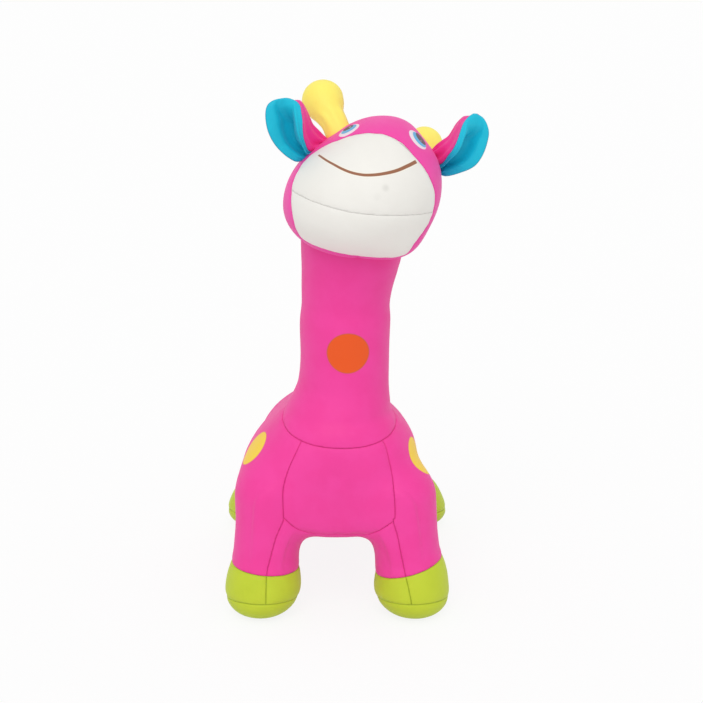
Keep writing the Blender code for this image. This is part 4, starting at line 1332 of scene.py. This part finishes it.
def buildHorn(hand):
    line = hornShape[hand]["line"]
    shares = np.linspace(0, 1, hornShape["rows"])
    middle = readLine(beside(np.linspace(0, 1, len(line)), line), shares)
    radii = readTable(smoothTable(hornShape["radii"]), shares) * hornShape[hand]["size"]
    way = unit(np.gradient(middle, axis=0))
    across = unit(np.cross(way, [0.0, 0.3, 1.0]))
    over = np.cross(way, across)
    turns = np.linspace(0, 2 * math.pi, hornShape["spokes"], endpoint=False)
    rings = [
        middle[i] + radius * (np.cos(turns)[:, None] * across[i] + np.sin(turns)[:, None] * over[i])
        for i, radius in enumerate(radii)]
    tip = middle[-1] + way[-1] * hornShape["cap"] * hornShape[hand]["size"]
    rings += capRings(rings[-1], tip, (10, 20, 30, 40, 50, 60, 70, 80))
    skin = loftSkin(rings, middle[0], tip)
    rearmost = rings[0][:, 1].argmax()
    seam = np.vstack([ring[rearmost] for ring in rings])
    dense = np.vstack([seam[:-1] * (1 - t) + seam[1:] * t for t in (0.0, 0.25, 0.5, 0.75)])
    spots = np.concatenate([np.tile(np.arange(len(turns)), len(rings)), [0, 0]])
    rows = np.concatenate([np.repeat(np.arange(len(rings)), len(turns)), [0, len(rings)]]) / hornShape["rows"]

    def relief(points, near):
        waves = hornShape["fold"] * np.sin(spots * 2 * math.pi / 5.5)
        return stuffed(points, near) + waves * np.exp(-((rows - 0.32) / 0.16) ** 2)

    return sew(skin, np.zeros(len(skin.faces), int), [("horn_" + hand, "horn")], relief, dense)


print("scene: horns")
for hand in ("right", "left"):
    name = "horn_" + hand
    line = np.array(hornShape[hand]["line"])
    hornBlend = ("head", line[0] + (line[1] - line[0]) * 0.6, line[1] + (line[2] - line[1]) * 0.7)
    replaced = [name + "_skin", name + "_filling"]
    addPiece(name, buildHorn(hand), yellowKnit, plainGrain(line[0]), replaced, name, hornBlend, hornShape["fill"])

print("scene: camera, lights and floor")
stageShape = {
    "camera": (-0.0013, -1.4614, 0.6329),
    "lookAt": (-0.0013, -0.0030, 0.1870),
    "lens": 100.0,
    "sun": 1.12,
    "sunAngle": 40.0,
    "sunWay": (0.12, 1.0, -1.15),
    "sky": 0.73,
    "floor": 14.0,
    "floorTone": 0.90,
    # how much of the floor's own shade the camera's plain white takes away
    "floorGlow": 0.86,
}
camera = addObject("camera", bpy.data.cameras.new("camera"))
camera.data.lens = stageShape["lens"]
camera.data.sensor_width = 36.0
camera.location = stageShape["camera"]
aim = Vector(stageShape["lookAt"]) - Vector(stageShape["camera"])
camera.rotation_euler = aim.to_track_quat("-Z", "Y").to_euler()
bpy.context.scene.camera = camera

sun = addObject("softSun", bpy.data.lights.new("softSun", "SUN"))
sun.data.energy = stageShape["sun"]
sun.data.angle = math.radians(stageShape["sunAngle"])
sun.rotation_euler = Vector(stageShape["sunWay"]).to_track_quat("-Z", "Y").to_euler()

world = bpy.data.worlds.new("paleStudio")
bpy.context.scene.world = world
world.use_nodes = True
sky = world.node_tree.nodes["Background"]
level = Wire(world.node_tree).seen() * (1.0 - stageShape["sky"]) + stageShape["sky"]
sky.inputs["Color"].default_value = (1, 1, 1, 1)
world.node_tree.links.new(level.socket, sky.inputs["Strength"])

half = stageShape["floor"] / 2
floorMesh = bpy.data.meshes.new("floor")
floorMesh.from_pydata([(-half, -half, 0), (half, -half, 0), (half, half, 0), (-half, half, 0)], [], [(0, 1, 2, 3)])
floor = addObject("floor", floorMesh)
floorPaint = bpy.data.materials.new("paleFloor")
floorPaint.use_nodes = True
floorTree = floorPaint.node_tree
floorShader = floorTree.nodes["Principled BSDF"]
floorShader.inputs["Base Color"].default_value = (*[stageShape["floorTone"]] * 3, 1)
floorShader.inputs["Roughness"].default_value = 0.9
floorShader.inputs["Specular IOR Level"].default_value = 0.1
start = Wire(floorTree)
glow = start.node("ShaderNodeEmission", {}, {"Color": (1, 1, 1, 1), "Strength": 1.0})
share = start.seen() * stageShape["floorGlow"]
mixed = start.node("ShaderNodeMixShader", {}, {"Fac": share, 1: Wire(floorTree, floorShader.outputs[0]), 2: glow})
floorTree.links.new(mixed.socket, floorTree.nodes["Material Output"].inputs["Surface"])
floorMesh.materials.append(floorPaint)
bpy.context.scene.view_settings.view_transform = "Standard"
